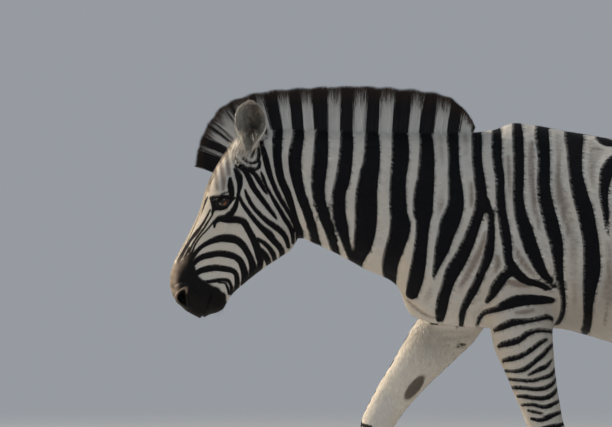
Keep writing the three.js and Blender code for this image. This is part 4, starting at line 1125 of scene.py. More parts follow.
def looks_at(points, outward):
    """What the coat looks like at places of the skin, as three triples and a value for each:
    marks: depth in a dark stripe and in a faint one (centimetres), share of dark muzzle;
    tints: warm cream (partly painted sunlight), bare skin, brown; lie: share of leg, share of head, how far
    up the hair;
    and how fawn the hair is."""
    flat = points[:, [0, 2]] / CM
    u, v, y = head_place(points)
    right = ease(0, 0.07, points[:, 1]) * ease(25, 110, np.hypot(u - EYE[0], v - EYE[1]))
    drift = np.stack([waves(flat, 38, 11), waves(flat, 38, 12)], 1) * [0.9, 0.7]
    drift = drift + np.stack([waves(flat, 14, 13), waves(flat, 14, 14)], 1) * 0.35
    flat = flat + drift * right[:, None]
    on_face = in_profile(points, 9)
    on_leg = leg_of(points)[2]
    medial = ease(0.15, 0.55, -np.sign(points[:, 1]) * outward[:, 1])
    ahead, aside = outward @ FOREHEAD, np.abs(outward[:, 1])

    dark = body_stripes(points, outward, flat, medial, on_face)
    chestnut = leg_bands(points, medial, dark)
    dock, rings = dock_rings(points, outward, flat)
    dark = np.where(dock, rings, dark)

    # The front of the face: narrow lines that run down it and close in on the muzzle.
    front = ease(0.78, 0.92, ahead) * on_face * ease(-30, 0, u) * ease(430, 400, u)
    gap = np.interp(u, *FACE_GAPS)
    across = (np.abs(y) + 0.8 * waves(flat, 12, 51)) / gap
    lines = (0.24 - np.abs(across % 1 - 0.5)) * gap / 10
    dark = np.where(front > 0, dark + front * (lines - dark), dark)

    faint = deepest(flat, SHADOWS, 1.5)
    middle = 0.45 * np.minimum(-dark, 2) - 0.92 + 0.2 * waves(flat, 16, 42)
    faint = np.maximum(faint, middle - 2 * on_leg - 2 * on_face - ease(-0.2, -0.5, points[:, 0]))
    faint -= 2 * ease(0.5, 0.0, aside) * ~on_face
    faint = np.maximum(faint, 2 * chestnut - 1.5)

    # The muzzle, the nostril and the rims of the eyes and lips.
    edge = np.interp(v / 10, *np.transpose(MUZZLE_EDGE))
    muzzle = ease(-1.0, 0.8, u / 10 - edge + 0.2 * waves(flat, 3, 61)) * on_face
    inwards = (track(HEAD, u)[:, 0] - v) / 10 + 0.5 * waves(flat, 5, 62)
    fawn = ease(4.0, 1.6, inwards) * ease(-3.2, 2.0, u / 10 - edge) * ease(49.5, 47.5, u / 10) * on_face
    fawn = fawn * (0.8 + 0.2 * waves(flat, 2.2, 63))
    nostril = by_nostril(points)
    lids = ease(1.62, 1.45, by_eye(points)[3] + 0.08 * waves(points, 0.008, 65)) * on_face
    lips = 0.7 * ease(5, 3, by_mouth(points)) * on_face * (u > 400)
    bare = np.maximum.reduce([0.55 * chestnut, lids, ease(1.12, 1.0, nostril) * on_face, lips])
    over = ease(0.1, 0.6, np.sin(np.arctan2(v + 9, 466 - u) + 0.9))
    ring = bell(nostril - 1.3, 0.16) * on_face * over
    fawn = np.clip(np.maximum(fawn, ring), 0, 1)
    nose = 0.5 * on_face * ease(0.25, 0.6, ahead) * ease(70, 55, np.abs(y))
    shin = 0.7 * on_leg * ease(0.35, 0.8, -outward[:, 0]) * ease(0.55, 0.7, points[:, 2])
    brown = np.maximum(np.clip(front * 0.85 + nose, 0, 1), shin)
    # Warm cream: partly the coat's own tone, partly painted warm sunlight on the face's front and wherever
    # the coat faces forwards, towards the key lamp.
    warm = 0.25 + 0.5 * front + 0.1 * on_leg * medial + 0.4 * ease(0.1, 0.8, -outward[:, 0])
    dark = np.where(lids > 0.05, dark + lids * (1.0 - dark), dark) - 3 * fawn ** 3
    dark, faint, bare = ear_marks(points, outward, flat, dark, faint, bare)
    marks = np.stack([dark, faint, muzzle], 1)
    tints = np.stack([np.clip(warm, 0, 1), bare, brown], 1)
    lie = np.stack([on_leg, ease(12, -4, head_margin(points)), 0 * u], 1)
    return marks, tints, lie, fawn


def head_margin(points):
    """Millimetres by which places lie outside the head's outline from the side."""
    u, v, _ = head_place(points)
    high, low = track(HEAD, u)[:, 0], track(HEAD, u)[:, 1]
    return np.maximum.reduce([-45 - u, low - v, v - high])


# ---------------------------------------------------------------- hair
def dress(piece, looks, share=None, repeat=1):
    """Puts the coat's looks on a mesh's points; share is how far up its hair each point is."""
    marks, tints, lie, fawn = (np.repeat(k, repeat, 0) for k in looks)
    if share is not None:
        lie = np.column_stack([lie[:, :2], share])
    for name, values in (("marks", marks), ("tints", tints), ("lie", lie), ("fawn", fawn)):
        hold(piece.data, name, values)


BOX_SPARE = 0.0004  # how far hair stays inside the solids' own box, in metres


def strands(name, spine, sideways, width, outward, looks, spot, finish,
            standing=None, grown=None, thin=0.25):
    """Joins tapering blades into one mesh. spine holds each blade's places from root to tip,
    sideways and width its breadth, outward the way its light falls, spot its root on the unwrap,
    grown how far up the blade each of its places is, and thin its breadth near the tip."""
    count, levels = spine.shape[:2]
    facing = np.sign(dot(np.cross(sideways, spine[:, -1] - spine[:, 0]), outward))
    sideways = sideways * facing[:, None]
    taper = np.linspace(1, thin, levels - 1) if levels > 2 else np.ones(1)
    half = (sideways * (width / 2)[:, None])[:, None, :] * taper[None, :, None]
    body = spine[:, :-1]
    sides = np.stack([body - half, body + half], 2).reshape(count, -1, 3)
    points = np.concatenate([sides, spine[:, -1:]], 1)
    low, high = (np.array(corner) - [TO_FRAME, 0, 0] for corner in cad_box)
    points = np.clip(points, low + BOX_SPARE, high - BOX_SPARE)
    each = points.shape[1]
    faces = []
    for k in range(levels - 2):
        a = 2 * k
        faces += [[a, a + 1, a + 3], [a, a + 3, a + 2]]
    faces += [[each - 3, each - 2, each - 1]]
    faces = (np.array(faces)[None] + each * np.arange(count)[:, None, None]).reshape(-1, 3)
    piece = mesh_of(name, points.reshape(-1, 3), faces)
    grown = np.linspace(0, 1, levels) if grown is None else grown
    up = np.concatenate([np.repeat(grown[:-1], 2), [1]])
    dress(piece, looks, np.tile(up, count), each)
    if standing is not None:
        hold(piece.data, "shade", np.repeat(standing, each))
    aside = np.concatenate([np.tile([-1.0, 1.0], levels - 1), [0.0]])
    patch = np.stack([aside, up * 2 - 1], 1) * 0.0015
    layout = (spot[:, None] + patch[None]).reshape(-1, 2)
    unwrap = piece.data.uv_layers.new(name="OFBake", do_init=False)
    unwrap.data.foreach_set("uv", layout[faces.ravel()].astype(np.float32).ravel())
    piece.data.normals_split_custom_set_from_vertices(np.repeat(outward, each, 0).tolist())
    piece.data.materials.append(finish)
    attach(piece, "root")
    return piece


class Coat:
    """The finished skin as arrays, from which hair takes its roots."""

    def __init__(self, skin):
        mesh = skin.data
        mesh.calc_loop_triangles()
        count = len(mesh.loop_triangles)
        self.corners, loops = np.empty(count * 3, np.int32), np.empty(count * 3, np.int32)
        mesh.loop_triangles.foreach_get("vertices", self.corners)
        mesh.loop_triangles.foreach_get("loops", loops)
        self.corners, loops = self.corners.reshape(-1, 3), loops.reshape(-1, 3)
        layout = np.empty(len(mesh.loops) * 2, np.float32)
        mesh.uv_layers["OFBake"].data.foreach_get("uv", layout)
        self.layout = layout.reshape(-1, 2)[loops]
        self.points, self.normals = places(mesh), normals(mesh)
        a, b, c = (self.points[self.corners[:, k]] for k in range(3))
        self.area = np.linalg.norm(np.cross(b - a, c - a), axis=1) / 2
        self.middle = (a + b + c) / 3
        self.tree = BVHTree.FromPolygons(self.points.tolist(), self.corners.tolist())

    def roots(self, count, density):
        """Random roots on the skin: their places, normals and spots on its unwrap."""
        weight = self.area * density
        face = np.searchsorted(np.cumsum(weight) / weight.sum(), chance.uniform(size=count))
        share = chance.dirichlet((1, 1, 1), count)
        corner = self.corners[face]
        at = [(values * share[..., None]).sum(1)
              for values in (self.points[corner], self.normals[corner], self.layout[face])]
        return at[0], unit(at[1]), at[2]

    def spots(self, points):
        """The unwrap's spots nearest to places, such as the roots of long hair."""
        face = [self.tree.find_nearest(Vector(p))[2] for p in points]
        return self.layout[face].mean(1)


def lay_of(points, outward):
    """The way the short hair lies at places of the skin."""
    x, v = points[:, 0], head_place(points)[1]
    on_leg = leg_of(points)[2]
    slant = np.interp(x, [-0.7, -0.2, 0.1, 0.7, 0.95], [0.9, 0.7, 0.3, 0.5, 1.6])
    way = np.stack([1 - 0.9 * on_leg, 0 * x, -slant - 2 * on_leg], 1)
    face = ease(12, -4, head_margin(points))[:, None]
    cheek = ease(30, -60, v)[:, None]
    way = unit(way) * (1 - face) + face * (ALONG * (1 - 0.5 * cheek) + np.array([0.35, 0, -0.75]) * cheek)
    way = way + 0.12 * np.stack([waves(points, 0.09, seed) for seed in (71, 72, 73)], 1)
    return unit(way - outward * dot(way, outward)[:, None])


def hair_length(points):
    """Length of the short hair in millimetres."""
    u = head_place(points)[0]
    body = np.interp(points[:, 2], [0.05, 0.09, 0.13, 0.4, 0.75, 1.0], [17, 14, 7, 6.5, 10, 11])
    face = np.interp(u, [-40, 40, 200, 380, 440, 500], [9, 6.5, 5.5, 4, 2.6, 2.2])
    face = np.where(by_eye(points)[3] < 1.9, 2.6, face)
    armpit = (points - [-0.25, 0.09, 0.655]) / [0.06, 0.05, 0.05]
    body = body + 13 * np.exp(-dot(armpit, armpit))
    return body + ease(14, -2, head_margin(points)) * (face - body)


# The short coat: the region it covers, its piece, its number of hairs and their width in millimetres.
SHORT_COAT = (
    ("head", "coat_hair_head", 172000, 0.6),
    ("legs", "coat_hair_legs", 110000, 0.75),
    ("trunk", "coat_hair_trunk", 165000, 1.0),
    ("trunk", "coat_hair_flank", 165000, 1.0),
)
ROOT_DEPTH = 0.0004  # how deep short hair is set in the skin, in metres


def short_coat(coat, finish):
    """Short flat hair all over, in pieces: most and finest on the face, least on the trunk."""
    middle = coat.middle
    margin = head_margin(middle) + 8 * chance.normal(size=len(middle))
    low = middle[:, 2] + 0.03 * chance.normal(size=len(middle))
    ears = (middle[:, 2] > 1.24) & (margin > 3) & (middle[:, 0] < -0.70) & (np.abs(middle[:, 1]) > 0.04)
    regions = np.where((margin < 3) | ears, "head", np.where(low < 0.66, "legs", "trunk"))
    closed_off = (by_eye(middle)[3] < 1.12) | (by_nostril(middle) < 0.95) | (middle[:, 2] < 0.05)
    for region, name, count, width in SHORT_COAT:
        points, outward, spot = coat.roots(count, (regions == region) & ~closed_off)
        looks = looks_at(points, outward)
        looks[0][:, 0] += 0.05 * chance.normal(size=count)
        way = lay_of(points, outward)
        size = hair_length(points) * chance.uniform(0.7, 1.25, count) * MM
        if region == "head":
            on_ear = (points[:, 2] > 1.25) & (head_margin(points) > 3)
            upwards = unit(np.array([0, 0, 1.0]) - outward * outward[:, 2:])
            size = np.where(on_ear, 0.007, size)
            way = np.where(on_ear[:, None], upwards, way)
        across = unit(np.cross(outward, way) + 0.25 * chance.normal(size=(count, 3)))
        way = unit(way + across * chance.normal(0, 0.16, (count, 1)))
        lift = size * chance.uniform(0.10, 0.26, count)
        root = points - outward * ROOT_DEPTH
        tip = root + way * size[:, None] + outward * (lift + ROOT_DEPTH)[:, None]
        sideways = unit(np.cross(outward, way))
        light = unit(outward + 0.22 * chance.normal(size=(count, 3)))
        breadth = width * MM * chance.uniform(0.7, 1.3, count)
        strands(name, np.stack([root, tip], 1), sideways, breadth, light, looks, spot, finish)


def crest_hair(coat, finish):
    """Upright short hair on the neck's crest, that mingles with the roots of the mane."""
    count, middle = 16000, coat.middle
    below = np.interp(middle[:, 0] / MM, *np.transpose(MANE_ROOTS[3:])) * MM - middle[:, 2]
    along = (middle[:, 0] > -0.79) & (middle[:, 0] < -0.126) & (np.abs(middle[:, 1]) < 0.06)
    density = ease(-0.012, -0.004, below) * ease(0.03, 0.002, below) * along
    points, outward, spot = coat.roots(count, density)
    upwards = np.array([0.1, 0, 1.0]) - outward * outward[:, 2:]
    way = unit(upwards + 0.14 * chance.normal(size=(count, 3)))
    size = chance.uniform(9, 20, count) * MM
    tip = points + way * size[:, None] + outward * (0.12 * size)[:, None]
    breadth = chance.uniform(0.7, 1.2, count) * MM
    light = unit(outward + 0.22 * chance.normal(size=(count, 3)))
    strands("coat_hair_crest", np.stack([points - outward * 0.0005, tip], 1), unit(np.cross(outward, way)),
            breadth, light, looks_at(points, outward), spot, finish)


def plain_looks(count, dark, warm=0.5):
    """Looks of long hair, which is only pale or dark, with some cream in the pale."""
    nothing = np.zeros(count)
    return (np.stack([nothing + dark, nothing - 1.5, nothing], 1),
            np.stack([nothing + warm, nothing, nothing], 1), np.zeros((count, 3)), nothing)


def bent(root, way, bend, size, levels):
    """Hairs from their roots along way, drawn aside by bend more and more towards their tips."""
    grow = np.linspace(0, 1, levels)[:, None]
    return root[:, None] + (way[:, None] * grow + bend * grow ** 2) * size[:, None, None]


# Dark stretches of the forelock, by place along the mane's roots.
FORELOCK = [(0, .85), (.95, 1.45), (1.8, 2.0), (2.1, 2.2), (2.78, 2.88), (3.0, 3.3)]


def mane(coat, finish):
    """The stiff upright mane, each hair in the colour of the stripe at its root."""
    count, half_count = 54000, 27000
    t = np.sort(chance.uniform(0, len(MANE_ROOTS) - 1, count))
    lean = chance.uniform(-1, 1, count)
    tuft = np.floor(t * 9 + 0.8 * lean)
    tuft_place = (tuft + 0.5 - 0.8 * lean + 0.5 * np.sin(tuft * 12.9)) / 9
    ahead = t + 0.42 * (tuft_place - t) + 0.02 * chance.normal(size=count)
    half = MANE_HALF_WIDTH * track(MANE_THICK, t)[:, 0] * MM
    low, high = through(MANE_ROOTS, t, 0.5) * MM, through(MANE_TIPS, np.clip(ahead, 0, 12), 0.5) * MM
    full = 1.03 - 0.16 * chance.uniform(0, 1, count) ** 2
    full = full - 0.03 * (0.5 + 0.5 * np.sin(tuft * 7.3)) - 0.05 * np.abs(lean) ** 3
    full *= 1 + 0.09 * ease(4, 2.5, t)
    low[:, 1] -= 0.006 * lean ** 2 * chance.uniform(0, 1, count)
    levels = np.array([0, 0.35, 0.68, 0.88, 1])
    rise = low[:, None] + (high - low)[:, None] * (levels * full[:, None])[..., None]
    sway = chance.normal(0, 0.0030, (count, 1)) * levels ** 2
    aside = half[:, None] * (lean[:, None] * (1 - 0.60 * levels))
    aside = aside + chance.normal(0, 0.0020, (count, 1)) * levels
    spine = np.stack([rise[..., 0] + sway, aside, rise[..., 1]], -1)
    root = spine[:, 0]
    crest = (low - [0, 0.004]) / CM
    crest[:, 0] += 0.25 * np.sin(t * 37) * (t > 3) + 0.12 * chance.normal(size=count)
    dark = deepest(crest, STRIPES)
    place = t + 0.03 * chance.normal(size=count)
    front = np.max([np.minimum(place - a, b - place) for a, b in FORELOCK], 0) * 4
    dark = np.where(t < 3.3, front, dark + 0.2)
    looks = plain_looks(count, dark, 0.15)
    turn = chance.uniform(-1, 1, count)
    stem = unit(spine[:, -1] - root)
    sideways = unit(np.cross(stem, np.stack([0.9 * turn, np.ones(count), 0 * turn], 1)))
    out = unit(np.stack([0.5 * turn, np.sign(lean) * (0.5 + np.abs(lean)), 0 * turn + 0.35], 1))
    spot = coat.spots(root + [0, 0, 0.012])
    for name, part in (("mane_front", slice(0, half_count)), ("mane_back", slice(half_count, count))):
        own = tuple(k[part] for k in looks)
        breadth, shade = chance.uniform(0.7, 1.3, half_count) * MM, chance.uniform(0, 1, half_count)
        strands(name, spine[part], sideways[part], breadth, out[part], own, spot[part],
                              finish, shade, levels, 0.4)
    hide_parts("mane")


def tail(coat, finish):
    """The tail's long hair, that springs from the lower dock."""
    locks, count, levels = 80, 7600, 9
    grown = np.linspace(0, 1, levels)[None]
    lock = chance.integers(0, locks, count)
    begin = chance.uniform(0, 1, locks) ** 1.3 * 1.9
    finish_at = np.maximum(begin + 1.1, 4 - 2.2 * chance.uniform(0, 1, locks) ** 1.7)
    start = np.maximum(0, begin[lock] + 0.2 * chance.normal(size=count))
    end = finish_at[lock] - 0.35 * np.abs(chance.normal(size=count))
    t = np.clip(start[:, None] + (end - start)[:, None] * grown, 0, 4)
    line = through(TUFT_LINE, t.ravel()) * MM
    front, back, half = track(TUFT, t.ravel()).T * MM
    swing = chance.uniform(0, 2 * np.pi, (4, locks))[:, lock][..., None]
    angle = swing[0][:, 0] + 0.12 * chance.normal(size=count)
    out = (chance.uniform(0.05, 1, locks) ** 0.5)[lock, None]
    far = 0.33 * (1 - ease(0, 0.35, grown)) + out * ease(0, 0.35, grown) * 0.9
    far = far + 0.13 * np.sin(swing[1] + grown * (4 + swing[3] * 0.5)) * ease(0.2, 0.7, grown)
    turn = angle[:, None] + 0.45 * np.sin(swing[2] + grown * (3 + swing[3] * 0.4)) * ease(0.2, 1, grown)
    far = np.clip(far, 0, 1)
    c, s = np.cos(turn).ravel(), np.sin(turn).ravel()
    reach = far.ravel() * np.where(c > 0, back, front)
    spine = np.stack([line[:, 0] + reach * c, far.ravel() * half * s, line[:, 1]], 1)
    spine = spine.reshape(count, levels, 3)
    loose = chance.normal(0, 0.0036, (count, 1, 3)) * [1, 1, 0]
    spine = spine + loose * (ease(0, 0.3, grown) * (1 - 0.6 * grown))[..., None]
    tint = np.clip(0.7 * chance.uniform(0, 1, locks)[lock] + 0.3 * chance.uniform(0, 1, count), 0, 1)
    dark = np.where(chance.uniform(size=count) < 0.22 * (start < 0.5), -1.5, 1.5)
    way = np.stack([np.cos(angle), np.sin(angle), 0 * angle], 1)
    sideways = unit(np.cross(way, [0, 0, 1.0]) + 0.5 * way * chance.normal(size=(count, 1)))
    breadth, light = chance.uniform(0.9, 1.6, count) * MM, unit(way + [0, 0, 0.1])
    piece = strands("tail_hair", spine, sideways, breadth, light, plain_looks(count, dark),
                    coat.spots(spine[:, 0]), finish, tint)
    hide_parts("tail_tuft")


# Long pale hair inside the ears, on their rims and at their roots: number of hairs, from and to by
# share of the ear's length, share of the way across, depth into its wall, length in millimetres.
EAR_HAIR = (
    (3000, 0.08, 0.90, 0.95, 1.0, 26),
    (2200, 0.16, 0.97, 1.0, 0.6, 10),
    (500, 0.10, 0.26, 1.0, 0.6, 34),
)
EAR_TUFT = 1500  # hairs before the ears' roots


def ear_hair(coat, finish):
    """Long pale hair inside the ears and before their roots, and a fringe on their rims."""
    spines, ways, shades = [], [], []
    for side in (-1, 1):
        _, up, _, out = ear_frame(side)
        for count, low, high, reach, inset, length in EAR_HAIR:
            rim = inset < 1
            t = chance.uniform(low, high, count)
            across = chance.uniform(-1, 1, count) * reach
            if rim:
                across = np.sign(across) * chance.uniform(0.94, 1.0, count)
            root = ear_spot(side, t, across, np.full(count, inset))
            inward = unit(ear_spot(side, t, across * 0.6, np.full(count, inset + 1.2)) - root)
            outwards, inwards = (0.1, 0.05) if rim else (0.5, 0.5)
            way = unit(up * 0.8 + out * outwards + inward * inwards + 0.25 * chance.normal(size=(count, 3)))
            size = length * chance.uniform(0.6, 1.2, count) * MM
            size *= np.interp(t, [0.16, 0.5, 1] if rim else [0.1, 0.4, 0.72], [1.2, 1, 0.5])
            spines.append(bent(root, way, inward[:, None] * 0.25, size, 3))
            ways.append(way)
            dark = chance.uniform(size=count) < (0.25 if rim else 0.12)
            shades.append((-1.0 if rim else -1.5) + 2.5 * dark)
    tuft = coat.middle / CM - [-80.5, 0, 122.6]
    tuft[:, 1] = 0
    density = np.exp(-dot(tuft, tuft) / 6.5) * (np.abs(coat.middle[:, 1]) > 0.03)
    root, normal, _ = coat.roots(EAR_TUFT, density)
    way = unit(normal * 0.5 + [0.25, 0, 1.0] + 0.14 * chance.normal(size=(EAR_TUFT, 3)))
    size = chance.uniform(18, 38, EAR_TUFT) * MM
    spines.append(bent(root, way, np.array([0.30, 0, 0]), size, 3))
    ways.append(way)
    shades.append(np.full(EAR_TUFT, -1.5))
    spine, way, dark = np.concatenate(spines), np.concatenate(ways), np.concatenate(shades)
    count = len(spine)
    sideways = unit(np.cross(way, chance.normal(size=(count, 3))))
    light = unit(way + [-0.5, 0, 0.2])
    light[-EAR_TUFT:] = unit(np.stack([0 * size - 0.8, 0.2 * np.sign(root[:, 1]), 0 * size + 0.6], 1))
    breadth = chance.uniform(0.6, 1.1, count) * MM
    strands("ear_hair", spine, sideways, breadth, light, plain_looks(count, dark),
            coat.spots(spine[:, 0]), finish, chance.uniform(0, 1, count))


LASHES = ((110, 1, 17, 0.45), (50, -1, 8, 0.27))  # number, upper or lower lid, length, how far they curl


def lashes_and_whiskers(coat, finish):
    spines, thick = [], []
    middle = on_head(*EYE)
    c, s = math.cos(EYE_TILT), math.sin(EYE_TILT)
    for side in (-1, 1):
        for count, lid, length, curl in LASHES:
            a = chance.uniform(-0.92, 0.92, count)
            height = 1.08 * np.sqrt(np.clip((1 - a * a) / (1 + 0.7 * a * a), 0, 1))
            height = height * (EYE_OVER if lid > 0 else -EYE_UNDER)
            a = a * EYE_LENGTH
            u, v = EYE[0] + a * c - height * s, EYE[1] + a * s + height * c
            away = unit(on_head(u, v, 0 * u + EYE[2] + 17) - middle)
            across = unit(on_head(-s, c, 0) - on_head(0, 0, 0)) * lid
            size = length * chance.uniform(0.7, 1.1, count) * MM
            out = unit(away + np.array([0, 0.9, 0]) - across * 0.15 + 0.12 * chance.normal(size=(count, 3)))
            spines.append(bent(middle + away * 0.0228, out, across * curl, size, 5) * [1, side, 1])
            thick.append(np.full(count, 0.45))
    u = chance.uniform(405, 486, 400)
    v = chance.uniform(-130, 5, 400)
    chosen = by_nostril(on_head(u, v, 40 + 0 * u)) > 1.5
    u, v = u[chosen][:170], v[chosen][:170]
    for side in (-1, 1):
        start = on_head(u, v, side * 90 + 0 * u)
        hit = [coat.tree.ray_cast(Vector(p), Vector((0, -side, 0)), 0.2) for p in start]
        good = [h for h in hit if h[0] is not None]
        root, out = np.array([h[0] for h in good]), np.array([h[1] for h in good])
        size = chance.uniform(8, 34, len(root)) * MM
        way = unit(out + ALONG * 0.7 + 0.3 * chance.normal(size=(len(root), 3)))
        spines.append(bent(root, way, np.array([0, 0, -0.3]), size, 5))
        thick.append(np.full(len(root), 0.4))
    spine, width = np.concatenate(spines), np.concatenate(thick) * MM
    count = len(spine)
    way = unit(spine[:, -1] - spine[:, 0])
    sideways, light = (unit(np.cross(way, chance.normal(size=(count, 3)))) for _ in range(2))
    strands("lashes_and_whiskers", spine, sideways, width, light, plain_looks(count, 1.5),
            coat.spots(spine[:, 0]), finish, chance.uniform(0, 1, count))


# ---------------------------------------------------------------- eyes and hooves
def eyeball(side, finish):
    """The ball with its cornea standing a little proud; gaze holds places across the iris in mm."""
    name = "left" if side < 0 else "right"
    centre = on_head(EYE[0], EYE[1], side * EYE[2])
    look = unit(np.array([-0.30, side * 1.0, -0.04]))
    level = unit(np.cross(np.array([0, 0, 1.0]), look) * side)
    lift = np.cross(look, level) * side
    tilt, turn = np.linspace(0, np.pi, 74)[1:-1], np.arange(96) * 2 * np.pi / 96
    swell = 1.1 * np.exp(-(tilt / 0.50) ** 4)
    radius = (EYE_RADIUS - 0.25 + swell)[:, None, None] * MM
    ring = np.cos(turn)[None, :, None] * level + np.sin(turn)[None, :, None] * lift
    rings = centre + radius * (np.cos(tilt)[:, None, None] * look + np.sin(tilt)[:, None, None] * ring)
    piece = mesh_of("eyeball_" + name, *closed(rings))
    face_outwards(piece.data)
    points = (places(piece.data) - centre) / MM
    hold(piece.data, "gaze", np.stack([points @ level, points @ lift, points @ look], 1))
    piece.data.materials.append(finish)
    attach(piece, "root")
    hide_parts("eye_" + name)


def hoof(name, finish):
    """A hoof with growth rings; its wall leans back from the toe."""
    side, (toe_x, toe_y) = LEGS[name][1], LEGS[name][3]
    share = np.concatenate([np.linspace(0, 0.9, 46), np.linspace(0.9, 1, 8)[1:]])
    front, back, half = track(HOOF, share).T[:, :, None]
    angle = 2 * np.pi * np.arange(96) / 96
    c, s = np.cos(angle), np.sin(angle)
    ring = 0.35 * np.sin(share * 46 + 1.5 * np.sin(share * 11))[:, None] * ease(0.03, 0.1, share)[:, None]
    x = np.where(c > 0, -c * (front + ring), -np.sign(c) * np.abs(c) ** 0.75 * (back + ring))
    lean = np.interp(x, [-58, 50], [HOOF_TOE_HEIGHT, HOOF_HEEL_HEIGHT])
    y = np.sign(s) * np.abs(s) ** 0.85 * (half + ring)
    cleft = bell(angle - np.pi, 0.10)
    x = x - 5 * cleft * ease(0.7, 0.1, share)[:, None]
    z = share[:, None] * lean
    rings = np.stack([toe_x + HOOF_LEAN * share[:, None] + x, side * toe_y + y, z], -1) * MM
    sole = rings[0] + (rings[0].mean(0) - rings[0]) * 0.10 * [1, 1, 0]
    crown = rings[-1] + (rings[-1].mean(0) - rings[-1]) * 0.5 + [0, 0, 0.002]
    piece = mesh_of(name.replace("leg", "hoof") + "_horn", *closed(np.concatenate([[sole], rings, [crown]])))
    face_outwards(piece.data)
    points = places(piece.data) - np.array([toe_x, side * toe_y, 0]) * MM
    turn = np.arctan2(points[:, 1], -points[:, 0])
    hold(piece.data, "wall", np.stack([turn, points[:, 2] / MM, 0 * turn], 1))
    piece.data.materials.append(finish)
    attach(piece, "root")
    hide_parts(name.replace("leg", "hoof"))


# ---------------------------------------------------------------- materials
class Wire:
    """A value, colour or vector inside a material; sums and products of it add nodes."""

    def __init__(self, finish, socket):
        self.finish, self.socket = finish, socket

    def math(self, operation, *values):
        return self.finish.add("ShaderNodeMath", {"operation": operation}, *values)

    def __add__(self, other):
        return self.math("ADD", self, other)

    def __sub__(self, other):
        return self.math("SUBTRACT", self, other)

    def __rsub__(self, other):
        return self.math("SUBTRACT", other, self)

    def __mul__(self, other):
        return self.math("MULTIPLY", self, other)

    def __pow__(self, other):
        return self.math("POWER", self, other)

    __radd__, __rmul__ = __add__, __mul__

    def step(self, low, high):
        """A soft step from 0 at low to 1 at high."""
        soft = {"interpolation_type": "SMOOTHSTEP"}
        return self.finish.add("ShaderNodeMapRange", soft, self, low, high, 0.0, 1.0)


class Finish:
    """A material under construction."""

    def __init__(self, name, **constants):
        self.material = bpy.data.materials.new(name)
        self.material.use_nodes = True
        self.tree = self.material.node_tree
        self.shader = self.tree.nodes["Principled BSDF"]
        for key, value in constants.items():
            self.shader.inputs[key.replace("_", " ")].default_value = value

    def add(self, kind, settings, *values, out=0, **named):
        """A node with its settings and what goes into its sockets, in order or by name.
        Gives one of its outputs, or all of them where out is None."""
        node = self.tree.nodes.new(kind)
        for key, value in settings.items():
            setattr(node, key, value)
        for socket, value in zip([k for k in node.inputs if k.enabled], values):
            self.put(value, socket)
        for key, value in named.items():
            self.put(value, node.inputs[key])
        outputs = [Wire(self, k) for k in node.outputs if k.enabled]
        return outputs if out is None else outputs[out]

    def put(self, value, socket):
        if isinstance(value, Wire):
            self.tree.links.new(value.socket, socket)
        elif value is not None:
            socket.default_value = value

    def drive(self, **inputs):
        for key, value in inputs.items():
            self.put(value, self.shader.inputs[key.replace("_", " ")])
        return self.material

    def held(self, name):
        """The three parts of a triple that the mesh holds."""
        return self.parts(self.add("ShaderNodeAttribute", {"attribute_name": name}, out=1))

    def held_value(self, name):
        return self.add("ShaderNodeAttribute", {"attribute_name": name}, out=2)

    def parts(self, vector):
        return self.add("ShaderNodeSeparateXYZ", {}, vector, out=None)

    def vector(self, x, y, z=0.0):
        return self.add("ShaderNodeCombineXYZ", {}, x, y, z)

    def mix(self, share, low, high):
        return self.add("ShaderNodeMix", {"data_type": "RGBA", "clamp_factor": True}, share, low, high)

    def between(self, share, low, high):
        return self.add("ShaderNodeMix", {"data_type": "FLOAT", "clamp_factor": True}, share, low, high)

    def scaled(self, colour, value):
        """A colour made lighter or darker."""
        return self.add("ShaderNodeVectorMath", {"operation": "SCALE"}, colour, value)

    def here(self):
        return self.add("ShaderNodeTexCoord", {}, out=3)

    def noise(self, scale, turn=(0, 0, 0), detail=2.0, place=None):
        """Random values about 0.5 whose lumps are 1/scale metres across along each axis."""
        moved = self.add("ShaderNodeMapping", {}, place or self.here(), (0, 0, 0), turn, scale)
        return self.add("ShaderNodeTexNoise", {}, Vector=moved, Scale=1.0, Detail=detail, Roughness=0.5)

    def bump(self, height, distance, strength):
        return self.add("ShaderNodeBump", {}, Height=height, Distance=distance, Strength=strength)


# The brown of dust, also used as painted shade low on the barrel.
SOIL_AND_SHADE = (0.26, 0.215, 0.17, 1)
WHITE, CREAM, BLACK = (0.51, 0.51, 0.50, 1), (0.66, 0.56, 0.42, 1), (0.0055, 0.0058, 0.0075, 1)
BROWN, FAINT, MUZZLE = (0.040, 0.022, 0.013, 1), (0.19, 0.150, 0.12, 1), (0.009, 0.008, 0.008, 1)
FAWN, BARE, DUST = (0.235, 0.172, 0.126, 1), (0.006, 0.006, 0.0065, 1), (0.40, 0.32, 0.22, 1)


def streaks(f, fine, along, leg, head):
    """Noise drawn out along the way the hair lies on trunk, legs and head."""
    trunk = f.noise((along, fine, fine), (0, 0.55, 0))
    down = f.noise((fine, fine, along))
    face = f.noise((along, fine, fine), (0, math.radians(-62), 0))
    return f.between(head, f.between(leg, trunk, down), face)


